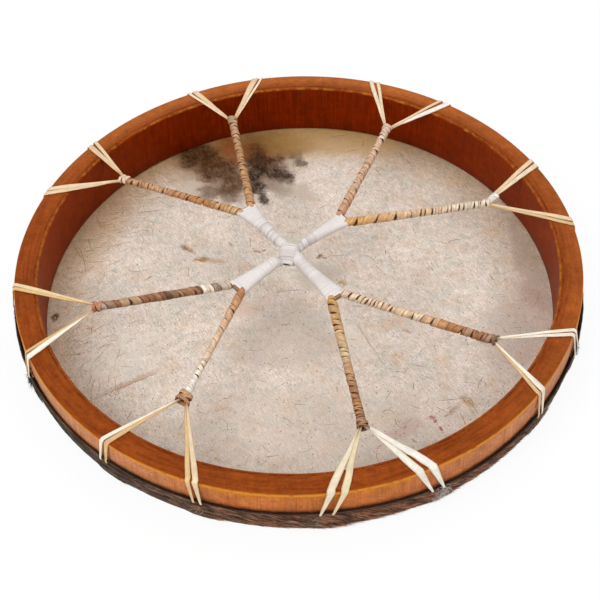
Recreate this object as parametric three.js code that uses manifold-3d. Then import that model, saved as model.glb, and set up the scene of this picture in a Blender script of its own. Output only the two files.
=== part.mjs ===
// Shaman frame drum: a bent-wood hoop, a rawhide head folded up round its outside, and a flat net of
// rawhide lace across the open back that gathers into a cross-shaped hand grip.
// Millimetres, +Z up. The drum lies on its head with the open back up. The origin is the middle of the
// head's playing face.
import * as THREE from "three";
import { mergeVertices } from "three/addons/utils/BufferGeometryUtils.js";
import Module from "manifold-3d";

const wasm = await Module();
wasm.setup();

// Fit between neighbouring pieces.
const CLEARANCE = 0.3;
const ROUND_SEGMENTS = 80;

// Hoop.
const HOOP_OUTER_RADIUS = 250;
const HOOP_WALL = 20.5;
const HOOP_HEIGHT = 54;
const HOOP_EDGE_ROUND = 2;
const HOOP_FOOT_BEVEL = 1.5;
const HOOP_BEARING_ROUND = 17;

// Head: one skin, drawn over the hoop's bearing edge and folded up its outside.
const HEAD_THICKNESS = 1.2;
const HEAD_FOLD_HEIGHT = 31;
const HOLE_BELOW_FOLD_EDGE = 5;
const FOLD_PLAY = 0.5;

// Lace: a flat strip, narrow where it is pulled into a knot or a hole.
const LACE_THICKNESS = 1;
const LACE_WIDTH_AT_KNOT = 2.4;
const LACE_WIDTH_AT_RIM = 6;
const LACE_WIDTH_AT_HOLE = 3.4;
const STRAND_SPREAD = 8;
const HOLE_PITCH = 10;
const STITCH_HEIGHT = 2.4;
const LACE_OVER_FOLD_EDGE = 2;
const NET_DROP = 2;

// Hand grip: two lace bundles that cross at half their thickness.
const GRIP_CENTRE_X = -7;
const GRIP_CENTRE_Y = 4.5;
const GRIP_ARM_LENGTH = 64;
const GRIP_HALF_WIDTH = 4.6;
const GRIP_HALF_THICKNESS = 4.6;
const GRIP_END_HALF_WIDTH = 8.4;
const GRIP_END_HALF_THICKNESS = 3.6;
const GRIP_LAP_HALF_THICKNESS = 2.6;
const GRIP_LAP_LENGTH = 9;
const GRIP_WRAP_TURNS = 10;
const GRIP_WRAP_STEPS = 8;
const LASHING_TURNS = 3;
const LASHING_STEPS = 12;
const LASHING_PITCH = 3.2;
const LASHING_ROOM = 1.2;

// Spokes: lace bundles from the grip to the knots, each with a strip wound round it.
const SPOKE_CORE_RADIUS = 2.3;
const KNOT_INSET = 40;
const SPOKE_WRAP_TURNS = 16;
const SPOKE_WRAP_STEPS = 6;
const SPOKE_WRAP_END_MARGIN = 1.2;
const CORE_SIDES = 8;

// Wound strips.
const WRAP_THICKNESS = 1;
const WRAP_GAP = 0.55;

// Arms of the grip, counter-clockwise: direction in degrees, and length as hand-laced, in arm lengths.
const ARMS = [
  { turn: 37.5, stretch: 1 },
  { turn: 124.5, stretch: 1.0625 },
  { turn: 221, stretch: 0.96875 },
  { turn: 305.5, stretch: 1.0625 },
];

// Spokes, counter-clockwise: the arm and the side of it that each leaves, the direction of its knot, how far
// the knot stays inside the hoop, in knot insets, and its two tails. A tail has the direction in which it
// crosses the rim, how far its two strands part there, in strand spreads, and how far round its holes lie
// from that direction.
const SPOKES = [
  {
    arm: 0, side: -1, knot: 17.8, inset: 1.1625,
    tails: [{ rim: 6.3, spread: 1, drift: -1.2 }, { rim: 25.1, spread: 1.05, drift: 1.1 }],
  },
  {
    arm: 0, side: 1, knot: 60.8, inset: 1.05,
    tails: [{ rim: 52.8, spread: 1.125, drift: -0.9 }, { rim: 70.1, spread: 1.25, drift: 1 }],
  },
  {
    arm: 1, side: -1, knot: 107.6, inset: 0.9125,
    tails: [{ rim: 97.6, spread: 1.25, drift: -1 }, { rim: 113.5, spread: 1.175, drift: 0.8 }],
  },
  {
    arm: 1, side: 1, knot: 146.2, inset: 0.9375,
    tails: [{ rim: 141.1, spread: 1.125, drift: -1.2 }, { rim: 157.9, spread: 1, drift: 1 }],
  },
  {
    arm: 2, side: -1, knot: 196.4, inset: 1.2125,
    tails: [{ rim: 186, spread: 1, drift: -0.6 }, { rim: 204.1, spread: 1.05, drift: 0.8 }],
  },
  {
    arm: 2, side: 1, knot: 237.9, inset: 1.225,
    tails: [{ rim: 230.9, spread: 1, drift: -0.2 }, { rim: 249.3, spread: 1.05, drift: 1.1 }],
  },
  {
    arm: 3, side: -1, knot: 283.8, inset: 0.9375,
    tails: [{ rim: 275.5, spread: 1.375, drift: -2.2 }, { rim: 292.8, spread: 1.4375, drift: 1.7 }],
  },
  {
    arm: 3, side: 1, knot: 326.6, inset: 0.9625,
    tails: [{ rim: 319.8, spread: 1.05, drift: -0.6 }, { rim: 335.8, spread: 1.05, drift: 0.6 }],
  },
];

// Levels and radii that follow from the sizes above.
const HOOP_INNER_RADIUS = HOOP_OUTER_RADIUS - HOOP_WALL;
const BEARING_RADIUS = Math.min(HOOP_BEARING_ROUND, HOOP_WALL - 2 * HOOP_FOOT_BEVEL);
const HOOP_FOOT = HEAD_THICKNESS + CLEARANCE;
const RIM_TOP = HOOP_FOOT + HOOP_HEIGHT;
const STITCH_RADIUS = HOOP_OUTER_RADIUS + CLEARANCE + LACE_THICKNESS / 2;
const FOLD_INNER_RADIUS = STITCH_RADIUS + LACE_THICKNESS / 2 + FOLD_PLAY;
const FOLD_OUTER_RADIUS = FOLD_INNER_RADIUS + HEAD_THICKNESS;
const BEARING_CENTRE_RADIUS = HOOP_OUTER_RADIUS - BEARING_RADIUS;
const BEARING_CENTRE_Z = HOOP_FOOT + BEARING_RADIUS;
const HOLE_Z = HEAD_FOLD_HEIGHT - HOLE_BELOW_FOLD_EDGE;
const STRAND_Z = RIM_TOP + CLEARANCE + LACE_THICKNESS / 2;
const NET_Z = STRAND_Z - NET_DROP;
const GRIP_CENTRE = new THREE.Vector3(GRIP_CENTRE_X, GRIP_CENTRE_Y, NET_Z);
const UP = new THREE.Vector3(0, 0, 1);

const radians = THREE.MathUtils.degToRad;
const lerp = THREE.MathUtils.lerp;

function heading(angle) {
  return new THREE.Vector3(Math.cos(angle), Math.sin(angle), 0);
}

function around(angle, radius, z) {
  return heading(angle).multiplyScalar(radius).setZ(z);
}

// Quarter arc of an ellipse as [radius, height] pairs, from one angle to another.
function arc(centre, halfWidth, halfHeight, from, to, steps) {
  return Array.from({ length: steps + 1 }, (_, i) => {
    const angle = radians(lerp(from, to, i / steps));
    return [centre[0] + halfWidth * Math.cos(angle), centre[1] + halfHeight * Math.sin(angle)];
  });
}

// Body of revolution about Z from a profile of [radius, height] pairs.
function turned(profile) {
  const points = profile.map(([radius, height]) => new THREE.Vector2(radius, height));
  return new THREE.LatheGeometry(points, ROUND_SEGMENTS).rotateX(Math.PI / 2);
}

// Closed skin over a row of rings with equal point counts. Each ring runs counter-clockwise as seen from the
// last one.
function skinned(rings) {
  const sides = rings[0].length;
  const last = (rings.length - 1) * sides;
  const faces = [];
  for (let i = 0; i < rings.length - 1; i += 1) {
    for (let k = 0; k < sides; k += 1) {
      const a = i * sides + k;
      const b = i * sides + ((k + 1) % sides);
      faces.push(a, b, b + sides, a, b + sides, a + sides);
    }
  }
  for (let k = 1; k < sides - 1; k += 1) {
    faces.push(0, k + 1, k, last, last + k, last + k + 1);
  }
  const geometry = new THREE.BufferGeometry();
  const points = rings.flat().flatMap((p) => p.toArray());
  geometry.setAttribute("position", new THREE.Float32BufferAttribute(points, 3));
  geometry.setIndex(faces);
  return geometry;
}

// Flat strip through stations of { at, across, width }. The strip's face looks along travel x across.
function strip(stations, thickness) {
  const rings = stations.map((station, i) => {
    const before = stations[Math.max(i - 1, 0)].at;
    const after = stations[Math.min(i + 1, stations.length - 1)].at;
    const travel = after.clone().sub(before).normalize();
    const face = travel.cross(station.across).normalize().multiplyScalar(thickness / 2);
    const side = station.across.clone().multiplyScalar(station.width / 2);
    return [[1, 1], [-1, 1], [-1, -1], [1, -1]].map(([s, f]) =>
      station.at.clone().addScaledVector(side, s).addScaledVector(face, f));
  });
  return skinned(rings);
}

// Strip wound round an axis. place(share, angle) gives its middle line; its ends run straight for one
// thickness, and its width leaves the gap between neighbouring turns.
function wound(place, across, turns, steps, pitch) {
  const count = turns * steps;
  const width = pitch - WRAP_GAP;
  const stations = Array.from({ length: count + 1 }, (_, i) => ({
    at: place(i / count, (2 * Math.PI * i) / steps),
    across,
    width,
  }));
  const lead = stations[0].at.clone().sub(stations[1].at).setLength(WRAP_THICKNESS);
  const trail = stations[count].at.clone().sub(stations[count - 1].at).setLength(WRAP_THICKNESS);
  stations.unshift({ at: stations[0].at.clone().add(lead), across, width });
  stations.push({ at: stations[count + 1].at.clone().add(trail), across, width });
  return { geometry: strip(stations, WRAP_THICKNESS), stations, steps };
}

// Least distance between points on the edges of turns that are at least half a turn apart.
function leastGap({ stations, steps }) {
  const edge = (station, s) => station.at.clone().addScaledVector(station.across, (s * station.width) / 2);
  const upper = stations.map((station) => edge(station, 1));
  const lower = stations.map((station) => edge(station, -1));
  let least = Infinity;
  for (let i = 0; i < upper.length; i += 1) {
    for (let j = i + Math.ceil(steps / 2); j < lower.length; j += 1) {
      for (let k = 0; k < 8; k += 1) {
        const next = lower[Math.min(j + 1, lower.length - 1)];
        const point = lower[j].clone().lerp(next, k / 8);
        least = Math.min(least, point.distanceTo(upper[i]));
      }
    }
  }
  return least;
}

function toManifold(geometry) {
  const bare = geometry.clone();
  bare.deleteAttribute("normal");
  bare.deleteAttribute("uv");
  const merged = mergeVertices(bare, 1e-5);
  return new wasm.Manifold(new wasm.Mesh({
    numProp: 3,
    vertProperties: new Float32Array(merged.getAttribute("position").array),
    triVerts: new Uint32Array(merged.getIndex().array),
  }));
}

function toGeometry(manifold) {
  const mesh = manifold.getMesh();
  const geometry = new THREE.BufferGeometry();
  geometry.setAttribute("position", new THREE.BufferAttribute(mesh.vertProperties, 3));
  geometry.setIndex(new THREE.BufferAttribute(mesh.triVerts, 1));
  return geometry;
}

const MATERIALS = {
  stained_hardwood: { color: 0x94441d, roughness: 0.45, metalness: 0 },
  rawhide_head: { color: 0xd4c4b6, roughness: 0.7, metalness: 0 },
  rawhide_lace: { color: 0xdcc4a6, roughness: 0.6, metalness: 0 },
  tan_rawhide_strip: { color: 0xb98e66, roughness: 0.65, metalness: 0 },
  white_hide_strip: { color: 0xd9d2c9, roughness: 0.75, metalness: 0 },
};

const drum = new THREE.Group();
drum.name = "shaman_drum";

function addPiece(name, geometry, finish) {
  const bare = geometry.clone();
  bare.deleteAttribute("normal");
  bare.deleteAttribute("uv");
  const closed = mergeVertices(bare, 1e-5);
  closed.computeVertexNormals();
  const material = new THREE.MeshStandardMaterial(MATERIALS[finish]);
  material.name = finish;
  const mesh = new THREE.Mesh(closed, material);
  mesh.name = name;
  drum.add(mesh);
}

function addWinding(name, winding, finish) {
  console.log(`${name}: least gap to itself ${leastGap(winding).toFixed(2)} mm`);
  addPiece(name, winding.geometry, finish);
}

// Hoop: flat rim with both edges eased, a large round outside where the head bears on it.
function hoopProfile() {
  const inside = HOOP_INNER_RADIUS;
  const eased = HOOP_EDGE_ROUND;
  const outerEdge = [HOOP_OUTER_RADIUS - eased, RIM_TOP - eased];
  const innerEdge = [inside + eased, RIM_TOP - eased];
  const bearing = [BEARING_CENTRE_RADIUS, BEARING_CENTRE_Z];
  const start = [inside + HOOP_FOOT_BEVEL, HOOP_FOOT];
  return [
    start,
    ...arc(bearing, BEARING_RADIUS, BEARING_RADIUS, 270, 360, 4),
    ...arc(outerEdge, eased, eased, 0, 90, 2),
    ...arc(innerEdge, eased, eased, 90, 180, 2),
    [inside, HOOP_FOOT + HOOP_FOOT_BEVEL],
    start,
  ];
}

// Head: a shallow dish that hugs the bearing edge and stands off the hoop above it, where the lace passes
// behind its fold.
function headProfile() {
  const bearing = [BEARING_CENTRE_RADIUS, BEARING_CENTRE_Z];
  const outerHalfWidth = FOLD_OUTER_RADIUS - BEARING_CENTRE_RADIUS;
  const innerHalfWidth = FOLD_INNER_RADIUS - BEARING_CENTRE_RADIUS;
  return [
    [0, 0],
    ...arc(bearing, outerHalfWidth, BEARING_CENTRE_Z, 270, 360, 4),
    [FOLD_OUTER_RADIUS, HEAD_FOLD_HEIGHT],
    [FOLD_INNER_RADIUS, HEAD_FOLD_HEIGHT],
    ...arc(bearing, innerHalfWidth, BEARING_CENTRE_Z - HEAD_THICKNESS, 360, 270, 4),
    [0, HEAD_THICKNESS],
  ];
}

function holeAngle(tail, side) {
  return radians(tail.rim + tail.drift) + (side * HOLE_PITCH) / 2 / FOLD_OUTER_RADIUS;
}

// Slot through the fold for one strand.
function slot(tail, side) {
  const angle = holeAngle(tail, side);
  const across = UP.clone().cross(heading(angle));
  const width = LACE_WIDTH_AT_HOLE + 2 * CLEARANCE;
  const stations = [FOLD_INNER_RADIUS - 2, FOLD_OUTER_RADIUS + 2].map((radius) => ({
    at: around(angle, radius, HOLE_Z),
    across,
    width,
  }));
  return toManifold(strip(stations, LACE_THICKNESS + 2 * CLEARANCE));
}

// One strand of a tail: from the knot up to the hoop's inner edge, level over the rim, down the hoop, over
// the fold's edge and in through its slot to the stitch behind the fold.
function strand(from, tail, side) {
  const rimAngle = radians(tail.rim) + (side * tail.spread * STRAND_SPREAD) / 2 / HOOP_OUTER_RADIUS;
  const endAngle = holeAngle(tail, side);
  const edgeBend = HOOP_EDGE_ROUND + CLEARANCE + LACE_THICKNESS / 2;
  const slotBend = LACE_THICKNESS;
  const outside = FOLD_OUTER_RADIUS + CLEARANCE + LACE_THICKNESS / 2;
  const rimAcross = UP.clone().cross(heading(rimAngle));
  const endAcross = UP.clone().cross(heading(endAngle));
  const edgeCentre = [HOOP_OUTER_RADIUS - HOOP_EDGE_ROUND, RIM_TOP - HOOP_EDGE_ROUND];
  const slotCentre = [outside - slotBend, HOLE_Z + slotBend];
  const level = from.clone().setZ(STRAND_Z);
  const crossing = around(rimAngle, edgeCentre[0], STRAND_Z);
  const travel = crossing.clone().sub(level).normalize();
  const rimShare = HOOP_WALL / crossing.distanceTo(level);
  const overRim = arc(edgeCentre, edgeBend, edgeBend, 90, 0, 3);
  const intoSlot = arc(slotCentre, slotBend, slotBend, 0, -90, 2);
  return strip([
    { at: from, across: UP.clone().cross(travel), width: LACE_WIDTH_AT_KNOT },
    {
      at: crossing.clone().lerp(level, rimShare),
      across: UP.clone().cross(travel),
      width: lerp(LACE_WIDTH_AT_RIM, LACE_WIDTH_AT_KNOT, rimShare),
    },
    ...overRim.map(([radius, z]) => ({
      at: around(rimAngle, radius, z),
      across: rimAcross,
      width: LACE_WIDTH_AT_RIM,
    })),
    {
      at: around(endAngle, outside, HEAD_FOLD_HEIGHT + LACE_OVER_FOLD_EDGE),
      across: endAcross,
      width: (LACE_WIDTH_AT_HOLE + LACE_WIDTH_AT_RIM) / 2,
    },
    ...intoSlot.map(([radius, z]) => ({
      at: around(endAngle, radius, z),
      across: endAcross,
      width: LACE_WIDTH_AT_HOLE,
    })),
    { at: around(endAngle, STITCH_RADIUS, HOLE_Z), across: endAcross, width: LACE_WIDTH_AT_HOLE },
  ], LACE_THICKNESS);
}

// Stitch behind the fold that joins a tail's two strands.
function stitch(tail) {
  const overhang = LACE_WIDTH_AT_HOLE / 2 / STITCH_RADIUS;
  const ends = [-1, 1].map((side) => holeAngle(tail, side) + side * overhang);
  const stations = ends.map((angle) => ({
    at: around(angle, STITCH_RADIUS, HOLE_Z),
    across: UP,
    width: STITCH_HEIGHT,
  }));
  return strip(stations, LACE_THICKNESS);
}

// Where a tail leaves its spoke: seated on the spoke's end face, beside the spoke's other tail.
function tailStart({ tip, travel }, tail) {
  const side = UP.clone().cross(travel);
  const leaving = around(radians(tail.rim), HOOP_OUTER_RADIUS, NET_Z).sub(tip).normalize();
  const onward = leaving.dot(travel);
  const sideways = leaving.dot(side);
  const half = LACE_WIDTH_AT_KNOT / 2;
  return tip.clone()
    .addScaledVector(travel, CLEARANCE + half * Math.abs(sideways))
    .addScaledVector(side, Math.sign(sideways) * (CLEARANCE / 2 + half * onward));
}

function tailSolid(spoke, tail) {
  const from = tailStart(spoke, tail);
  const pieces = [strand(from, tail, -1), strand(from, tail, 1), stitch(tail)].map(toManifold);
  return toGeometry(pieces[0].add(pieces[1]).add(pieces[2]));
}

const arms = ARMS.map(({ turn, stretch }) => {
  const along = heading(radians(turn));
  const length = stretch * GRIP_ARM_LENGTH;
  return { along, length, end: GRIP_CENTRE.clone().addScaledVector(along, length) };
});

const spokes = SPOKES.map(({ arm, side, knot, inset, tails }) => {
  const { along, end } = arms[arm];
  const offset = side * (GRIP_END_HALF_WIDTH - SPOKE_CORE_RADIUS);
  const root = end.clone().addScaledVector(UP.clone().cross(along), offset);
  const tip = around(radians(knot), HOOP_INNER_RADIUS - inset * KNOT_INSET, NET_Z);
  const travel = tip.clone().sub(root).normalize();
  const slant = Math.sqrt(1 - travel.dot(along) ** 2);
  return { root, tip, travel, slant, tails };
});

// Half width and half thickness of the grip at a distance from the crossing.
function gripSection(distance, length) {
  const share = (distance / length) ** 2;
  const lap = THREE.MathUtils.smoothstep(distance, GRIP_LAP_LENGTH, 2 * GRIP_LAP_LENGTH);
  const thickness = lerp(GRIP_HALF_THICKNESS, GRIP_END_HALF_THICKNESS, share);
  return {
    width: lerp(GRIP_HALF_WIDTH, GRIP_END_HALF_WIDTH, share),
    thickness: lerp(GRIP_LAP_HALF_THICKNESS, thickness, lap),
    rise: (1 - lap) * (GRIP_LAP_HALF_THICKNESS + CLEARANCE / 2),
  };
}

// Lace bundle from one arm's end to the opposite one; at the crossing it passes over or under the other.
function gripCore(first, second, level) {
  const sides = CORE_SIDES + 2;
  const half = ({ length }) => {
    const lap = [2, 1.5, 1].map((share) => share * GRIP_LAP_LENGTH);
    const open = [1, 2 / 3, 1 / 3].map((share) => lerp(lap[0], length, share));
    return [...open, ...lap];
  };
  const places = [
    ...half(first).map((distance) => ({ arm: first, distance, sign: -1 })),
    ...half(second).reverse().map((distance) => ({ arm: second, distance, sign: 1 })),
  ];
  return skinned(places.map(({ arm, distance, sign }) => {
    const { width, thickness, rise } = gripSection(distance, arm.length);
    const side = UP.clone().cross(arm.along).multiplyScalar(sign);
    const middle = GRIP_CENTRE.clone().addScaledVector(arm.along, distance).addScaledVector(UP, level * rise);
    return Array.from({ length: sides }, (_, k) => {
      const angle = (2 * Math.PI * k) / sides;
      return middle.clone()
        .addScaledVector(side, width * Math.cos(angle))
        .addScaledVector(UP, thickness * Math.sin(angle));
    });
  }));
}

// Radius of a wound strip's middle line that clears a core of the given radius at every flat.
function wrapRadius(coreRadius, steps) {
  return (coreRadius + CLEARANCE) / Math.cos(Math.PI / steps) + WRAP_THICKNESS / 2;
}

// Lashing that lies in the notches at either side of the crossing: its half length along the notch's edge,
// its half width where it clears both bundles, and how far out along the arms it reaches.
function lashingFit() {
  const halfNotch = Math.min(arms[3].along.angleTo(arms[0].along), arms[1].along.angleTo(arms[2].along)) / 2;
  const halfLength = ((LASHING_TURNS + 1) * LASHING_PITCH) / 2;
  const away = GRIP_HALF_WIDTH + 2 * CLEARANCE + WRAP_THICKNESS / 2;
  const halfWidth = (away + halfLength * Math.cos(halfNotch)) / Math.sin(halfNotch);
  const outside = halfWidth + WRAP_THICKNESS / 2;
  return { halfWidth, reach: outside * Math.cos(halfNotch) + halfLength * Math.sin(halfNotch) };
}

function gripWrap({ along, length }) {
  const side = UP.clone().cross(along);
  const from = lashingFit().reach + WRAP_GAP;
  const run = length - from;
  const pitch = run / (GRIP_WRAP_TURNS + 1);
  const place = (share, angle) => {
    const distance = from + pitch / 2 + share * (run - pitch);
    const { width, thickness } = gripSection(Math.min(distance + pitch / 2, length), length);
    const { thickness: thickest } = gripSection(2 * GRIP_LAP_LENGTH, length);
    return GRIP_CENTRE.clone()
      .addScaledVector(along, distance)
      .addScaledVector(side, wrapRadius(width, GRIP_WRAP_STEPS) * Math.cos(angle))
      .addScaledVector(UP, wrapRadius(Math.max(thickness, thickest), GRIP_WRAP_STEPS) * Math.sin(angle));
  };
  return wound(place, along, GRIP_WRAP_TURNS, GRIP_WRAP_STEPS, pitch);
}

// Lashing over the crossing, through the notches between the arms at either side.
function crossingLashing() {
  const sideways = arms[0].along.clone().add(arms[3].along).normalize();
  const along = UP.clone().cross(sideways);
  const halfHeight = 2 * GRIP_LAP_HALF_THICKNESS + 2 * WRAP_THICKNESS + CLEARANCE + LASHING_ROOM;
  const run = LASHING_TURNS * LASHING_PITCH;
  const { halfWidth } = lashingFit();
  const squared = (value) => Math.sign(value) * Math.abs(value) ** (2 / 3);
  const place = (share, angle) => GRIP_CENTRE.clone()
    .addScaledVector(along, (share - 0.5) * run)
    .addScaledVector(sideways, halfWidth * squared(Math.cos(angle)))
    .addScaledVector(UP, halfHeight * squared(Math.sin(angle)));
  return wound(place, along, LASHING_TURNS, LASHING_STEPS, LASHING_PITCH);
}

function spokeCore({ root, tip, travel, slant }) {
  const start = root.clone().addScaledVector(travel, SPOKE_CORE_RADIUS * slant + CLEARANCE);
  const side = UP.clone().cross(travel);
  return skinned([start, tip].map((middle) => Array.from({ length: CORE_SIDES }, (_, k) => {
    const angle = (2 * Math.PI * k) / CORE_SIDES;
    return middle.clone()
      .addScaledVector(side, SPOKE_CORE_RADIUS * Math.cos(angle))
      .addScaledVector(UP, SPOKE_CORE_RADIUS * Math.sin(angle));
  })));
}

function spokeWrap({ root, tip, travel, slant }) {
  const radius = wrapRadius(SPOKE_CORE_RADIUS, SPOKE_WRAP_STEPS);
  const from = (radius + WRAP_THICKNESS) * slant + SPOKE_WRAP_END_MARGIN;
  const run = tip.distanceTo(root) - SPOKE_WRAP_END_MARGIN - from;
  const pitch = run / (SPOKE_WRAP_TURNS + 1);
  const side = UP.clone().cross(travel);
  const place = (share, angle) => root.clone()
    .addScaledVector(travel, from + pitch / 2 + share * (run - pitch))
    .addScaledVector(side, radius * Math.cos(angle))
    .addScaledVector(UP, radius * Math.sin(angle));
  return wound(place, travel, SPOKE_WRAP_TURNS, SPOKE_WRAP_STEPS, pitch);
}

addPiece("hoop", turned(hoopProfile()), "stained_hardwood");

const slots = spokes.flatMap(({ tails }) => tails.flatMap((tail) => [slot(tail, -1), slot(tail, 1)]));
const head = toManifold(turned(headProfile())).subtract(wasm.Manifold.union(slots));
addPiece("drumhead", toGeometry(head), "rawhide_head");

spokes.forEach((spoke, i) => {
  addPiece(`spoke_core_${i + 1}`, spokeCore(spoke), "rawhide_lace");
  addWinding(`spoke_wrap_${i + 1}`, spokeWrap(spoke), "tan_rawhide_strip");
  spoke.tails.forEach((tail, k) => {
    addPiece(`lace_tail_${i + 1}${"ab"[k]}`, tailSolid(spoke, tail), "rawhide_lace");
  });
});

addPiece("grip_core_upper", gripCore(arms[1], arms[3], 1), "rawhide_lace");
addPiece("grip_core_lower", gripCore(arms[0], arms[2], -1), "rawhide_lace");
arms.forEach((arm, i) => addWinding(`grip_wrap_${i + 1}`, gripWrap(arm), "white_hide_strip"));
addWinding("grip_crossing_lashing", crossingLashing(), "white_hide_strip");

export default drum;
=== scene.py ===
"""Looks of a laced frame drum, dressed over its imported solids.

Metres, +Z up, in the frame of the solids: the drum lies on its head with the open back up, and the
origin is the middle of the head's playing face.
"""

import logging
from collections.abc import Callable, Iterable, Sequence
from dataclasses import dataclass, field
from enum import Enum
from functools import cache, partial
from math import atan2, copysign, cos, dist, hypot, pi, radians, remainder, sin, sqrt, tau
from random import Random
from typing import Any

import bmesh
import bpy
from bpy.types import Material, Mesh, Node, NodeSocket as Socket, NodeTree, Object
from mathutils import Matrix, Vector, noise


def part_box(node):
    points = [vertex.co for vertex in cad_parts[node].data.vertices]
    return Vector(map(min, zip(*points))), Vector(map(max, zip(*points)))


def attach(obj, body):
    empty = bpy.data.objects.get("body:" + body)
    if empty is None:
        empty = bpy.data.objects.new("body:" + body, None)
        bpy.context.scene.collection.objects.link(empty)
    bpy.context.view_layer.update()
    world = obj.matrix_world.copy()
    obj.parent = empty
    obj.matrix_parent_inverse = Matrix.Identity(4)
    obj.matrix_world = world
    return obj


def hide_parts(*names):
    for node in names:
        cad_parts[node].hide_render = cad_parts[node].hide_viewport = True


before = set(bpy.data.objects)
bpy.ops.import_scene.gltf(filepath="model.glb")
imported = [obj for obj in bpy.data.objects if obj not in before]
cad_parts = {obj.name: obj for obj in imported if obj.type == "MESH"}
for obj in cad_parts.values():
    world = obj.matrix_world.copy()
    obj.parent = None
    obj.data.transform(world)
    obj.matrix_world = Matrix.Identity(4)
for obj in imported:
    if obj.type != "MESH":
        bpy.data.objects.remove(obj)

LOG = logging.getLogger("drum")
MM = 0.001
UP = Vector((0, 0, 1))

Colour = tuple[float, float, float, float]
Span = tuple[float, float]
AddNode = Callable[..., Socket]

# Sockets of a colour mix, which has inputs and outputs of several types under the same names.
FACTOR, FIRST, SECOND, MIXED = 0, 6, 7, 2
# Settings of a mix of two colours, and of one that multiplies them.
COLOURS = {"data_type": "RGBA", "out": MIXED}
PRODUCT = {**COLOURS, "blend_type": "MULTIPLY"}


class Slot(Enum):
    """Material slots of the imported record."""

    HARDWOOD = "stained_hardwood"
    HEAD = "rawhide_head"
    LACE = "rawhide_lace"
    TAN_STRIP = "tan_rawhide_strip"
    WHITE_STRIP = "white_hide_strip"


@cache
def solid_box(node: str) -> tuple[Vector, Vector]:
    """Give a solid's lowest and highest corners, worked out once."""
    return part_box(node)


@cache
def linear(code: str) -> Colour:
    """Turn an sRGB hex colour into linear RGBA.

    Args:
        code: six hex digits.

    Returns:
        Red, green and blue, linear, with full alpha.
    """
    shares = [int(code[i:i + 2], 16) / 255 for i in (0, 2, 4)]
    red, green, blue = (s / 12.92 if s <= 0.04045 else ((s + 0.055) / 1.055) ** 2.4 for s in shares)
    return red, green, blue, 1.0


def blend(first: Colour, second: Colour, share: float) -> Colour:
    """Mix two linear colours by a share of the second."""
    red, green, blue = (a + (b - a) * share for a, b in zip(first[:3], second[:3]))
    return red, green, blue, 1.0


def along_stops(stops: Sequence[Any], share: float) -> tuple[Any, Any, float]:
    """Find where a share of the way falls among evenly spaced stops.

    Args:
        stops: values from the start to the end of the way.
        share: 0 at the first stop, 1 at the last.

    Returns:
        The stop before, the stop after, and the share between them.
    """
    reach = min(max(share, 0.0), 1.0) * (len(stops) - 1)
    before = min(int(reach), len(stops) - 2)
    return stops[before], stops[before + 1], reach - before


def between(stops: Sequence[float], share: float) -> float:
    """Give the number at a share of the way along evenly spaced stops."""
    before, after, part = along_stops(stops, share)
    return before + (after - before) * part


def tone_between(stops: Sequence[str], share: float) -> Colour:
    """Give the linear colour at a share of the way along evenly spaced hex colours."""
    before, after, part = along_stops(stops, share)
    return blend(linear(before), linear(after), part)


def smooth(low: float, high: float, value: float) -> float:
    """Rise smoothly from 0 at low to 1 at high."""
    share = min(max((value - low) / (high - low), 0.0), 1.0)
    return share * share * (3 - 2 * share)


def heading(angle: float) -> Vector:
    """Give the level direction at an angle round +Z."""
    return Vector((cos(angle), sin(angle), 0))


def sideways(angle: float) -> Vector:
    """Give the level direction counter-clockwise round the drum at an angle."""
    return UP.cross(heading(angle))


def around(angle: float, radius: float, height: float) -> Vector:
    """Give the point at an angle, radius and height of the drum."""
    return Vector((radius * cos(angle), radius * sin(angle), height))


def feed(node: Node, inputs: dict[int | str, Any]) -> None:
    """Set or link a node's inputs.

    Args:
        node: the node.
        inputs: by socket name or index, a value or another node's output.
    """
    for key, value in inputs.items():
        if isinstance(value, Socket):
            node.id_data.links.new(value, node.inputs[key])
        else:
            node.inputs[key].default_value = value


def add_node(tree: NodeTree, kind: str, *values: Any, out: int | str = 0, **settings: Any) -> Socket:
    """Add a shader node with its settings and links.

    Args:
        tree: the material's node tree.
        kind: the node's type without its ShaderNode prefix.
        values: plain values or other nodes' outputs for its inputs in order, or one dict of them by socket.
        out: the output wanted from the node.
        settings: the node's own properties.

    Returns:
        The wanted output socket.
    """
    node = tree.nodes.new("ShaderNode" + kind)
    for name, value in settings.items():
        setattr(node, name, value)
    by_socket = bool(values) and isinstance(values[0], dict)
    feed(node, values[0] if by_socket else dict(enumerate(values)))
    return node.outputs[out]


def drum_place(add: AddNode) -> tuple[Socket, Socket, Socket]:
    """Tell a material where each point of it lies on the drum.

    Args:
        add: adds a node to the material.

    Returns:
        The point, the point at the height of the playing face, and its distance from the drum's axis.
    """
    position = add("TexCoord", out="Object")
    flat = add("VectorMath", position, (1, 1, 0), operation="MULTIPLY")
    radius = add("VectorMath", flat, out="Value", operation="LENGTH")
    return position, flat, radius


def mottled(add: AddNode, colour: Socket, patterns: Iterable[tuple[Socket, float]]) -> Socket:
    """Lighten and darken a colour by patterns of noise.

    Args:
        add: adds a node to the material.
        colour: the plain colour.
        patterns: each pattern, and how much of the colour it adds or takes away at most.

    Returns:
        The mottled colour.
    """
    for pattern, depth in patterns:
        tint = add("MapRange", pattern, 0.3, 0.7, 1 - depth, 1 + depth)
        colour = add("Mix", {FACTOR: 1.0, FIRST: colour, SECOND: tint}, **PRODUCT)
    return colour


class Finish:
    """A surface finish that paints one shared material."""

    label: str

    def material(self) -> Material:
        """Give the finish's material, which is painted at its first use.

        Returns:
            The material, which all pieces of this finish share.
        """
        made = bpy.data.materials.get(self.label)
        if made is None:
            made = bpy.data.materials.new(self.label)
            made.use_nodes = True
            tree = made.node_tree
            self.paint(partial(add_node, tree), tree.nodes["Principled BSDF"])
        return made

    def paint(self, add: AddNode, surface: Node) -> None:
        """Lay the pattern's nodes and link them to the surface shader."""
        raise NotImplementedError


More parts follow.
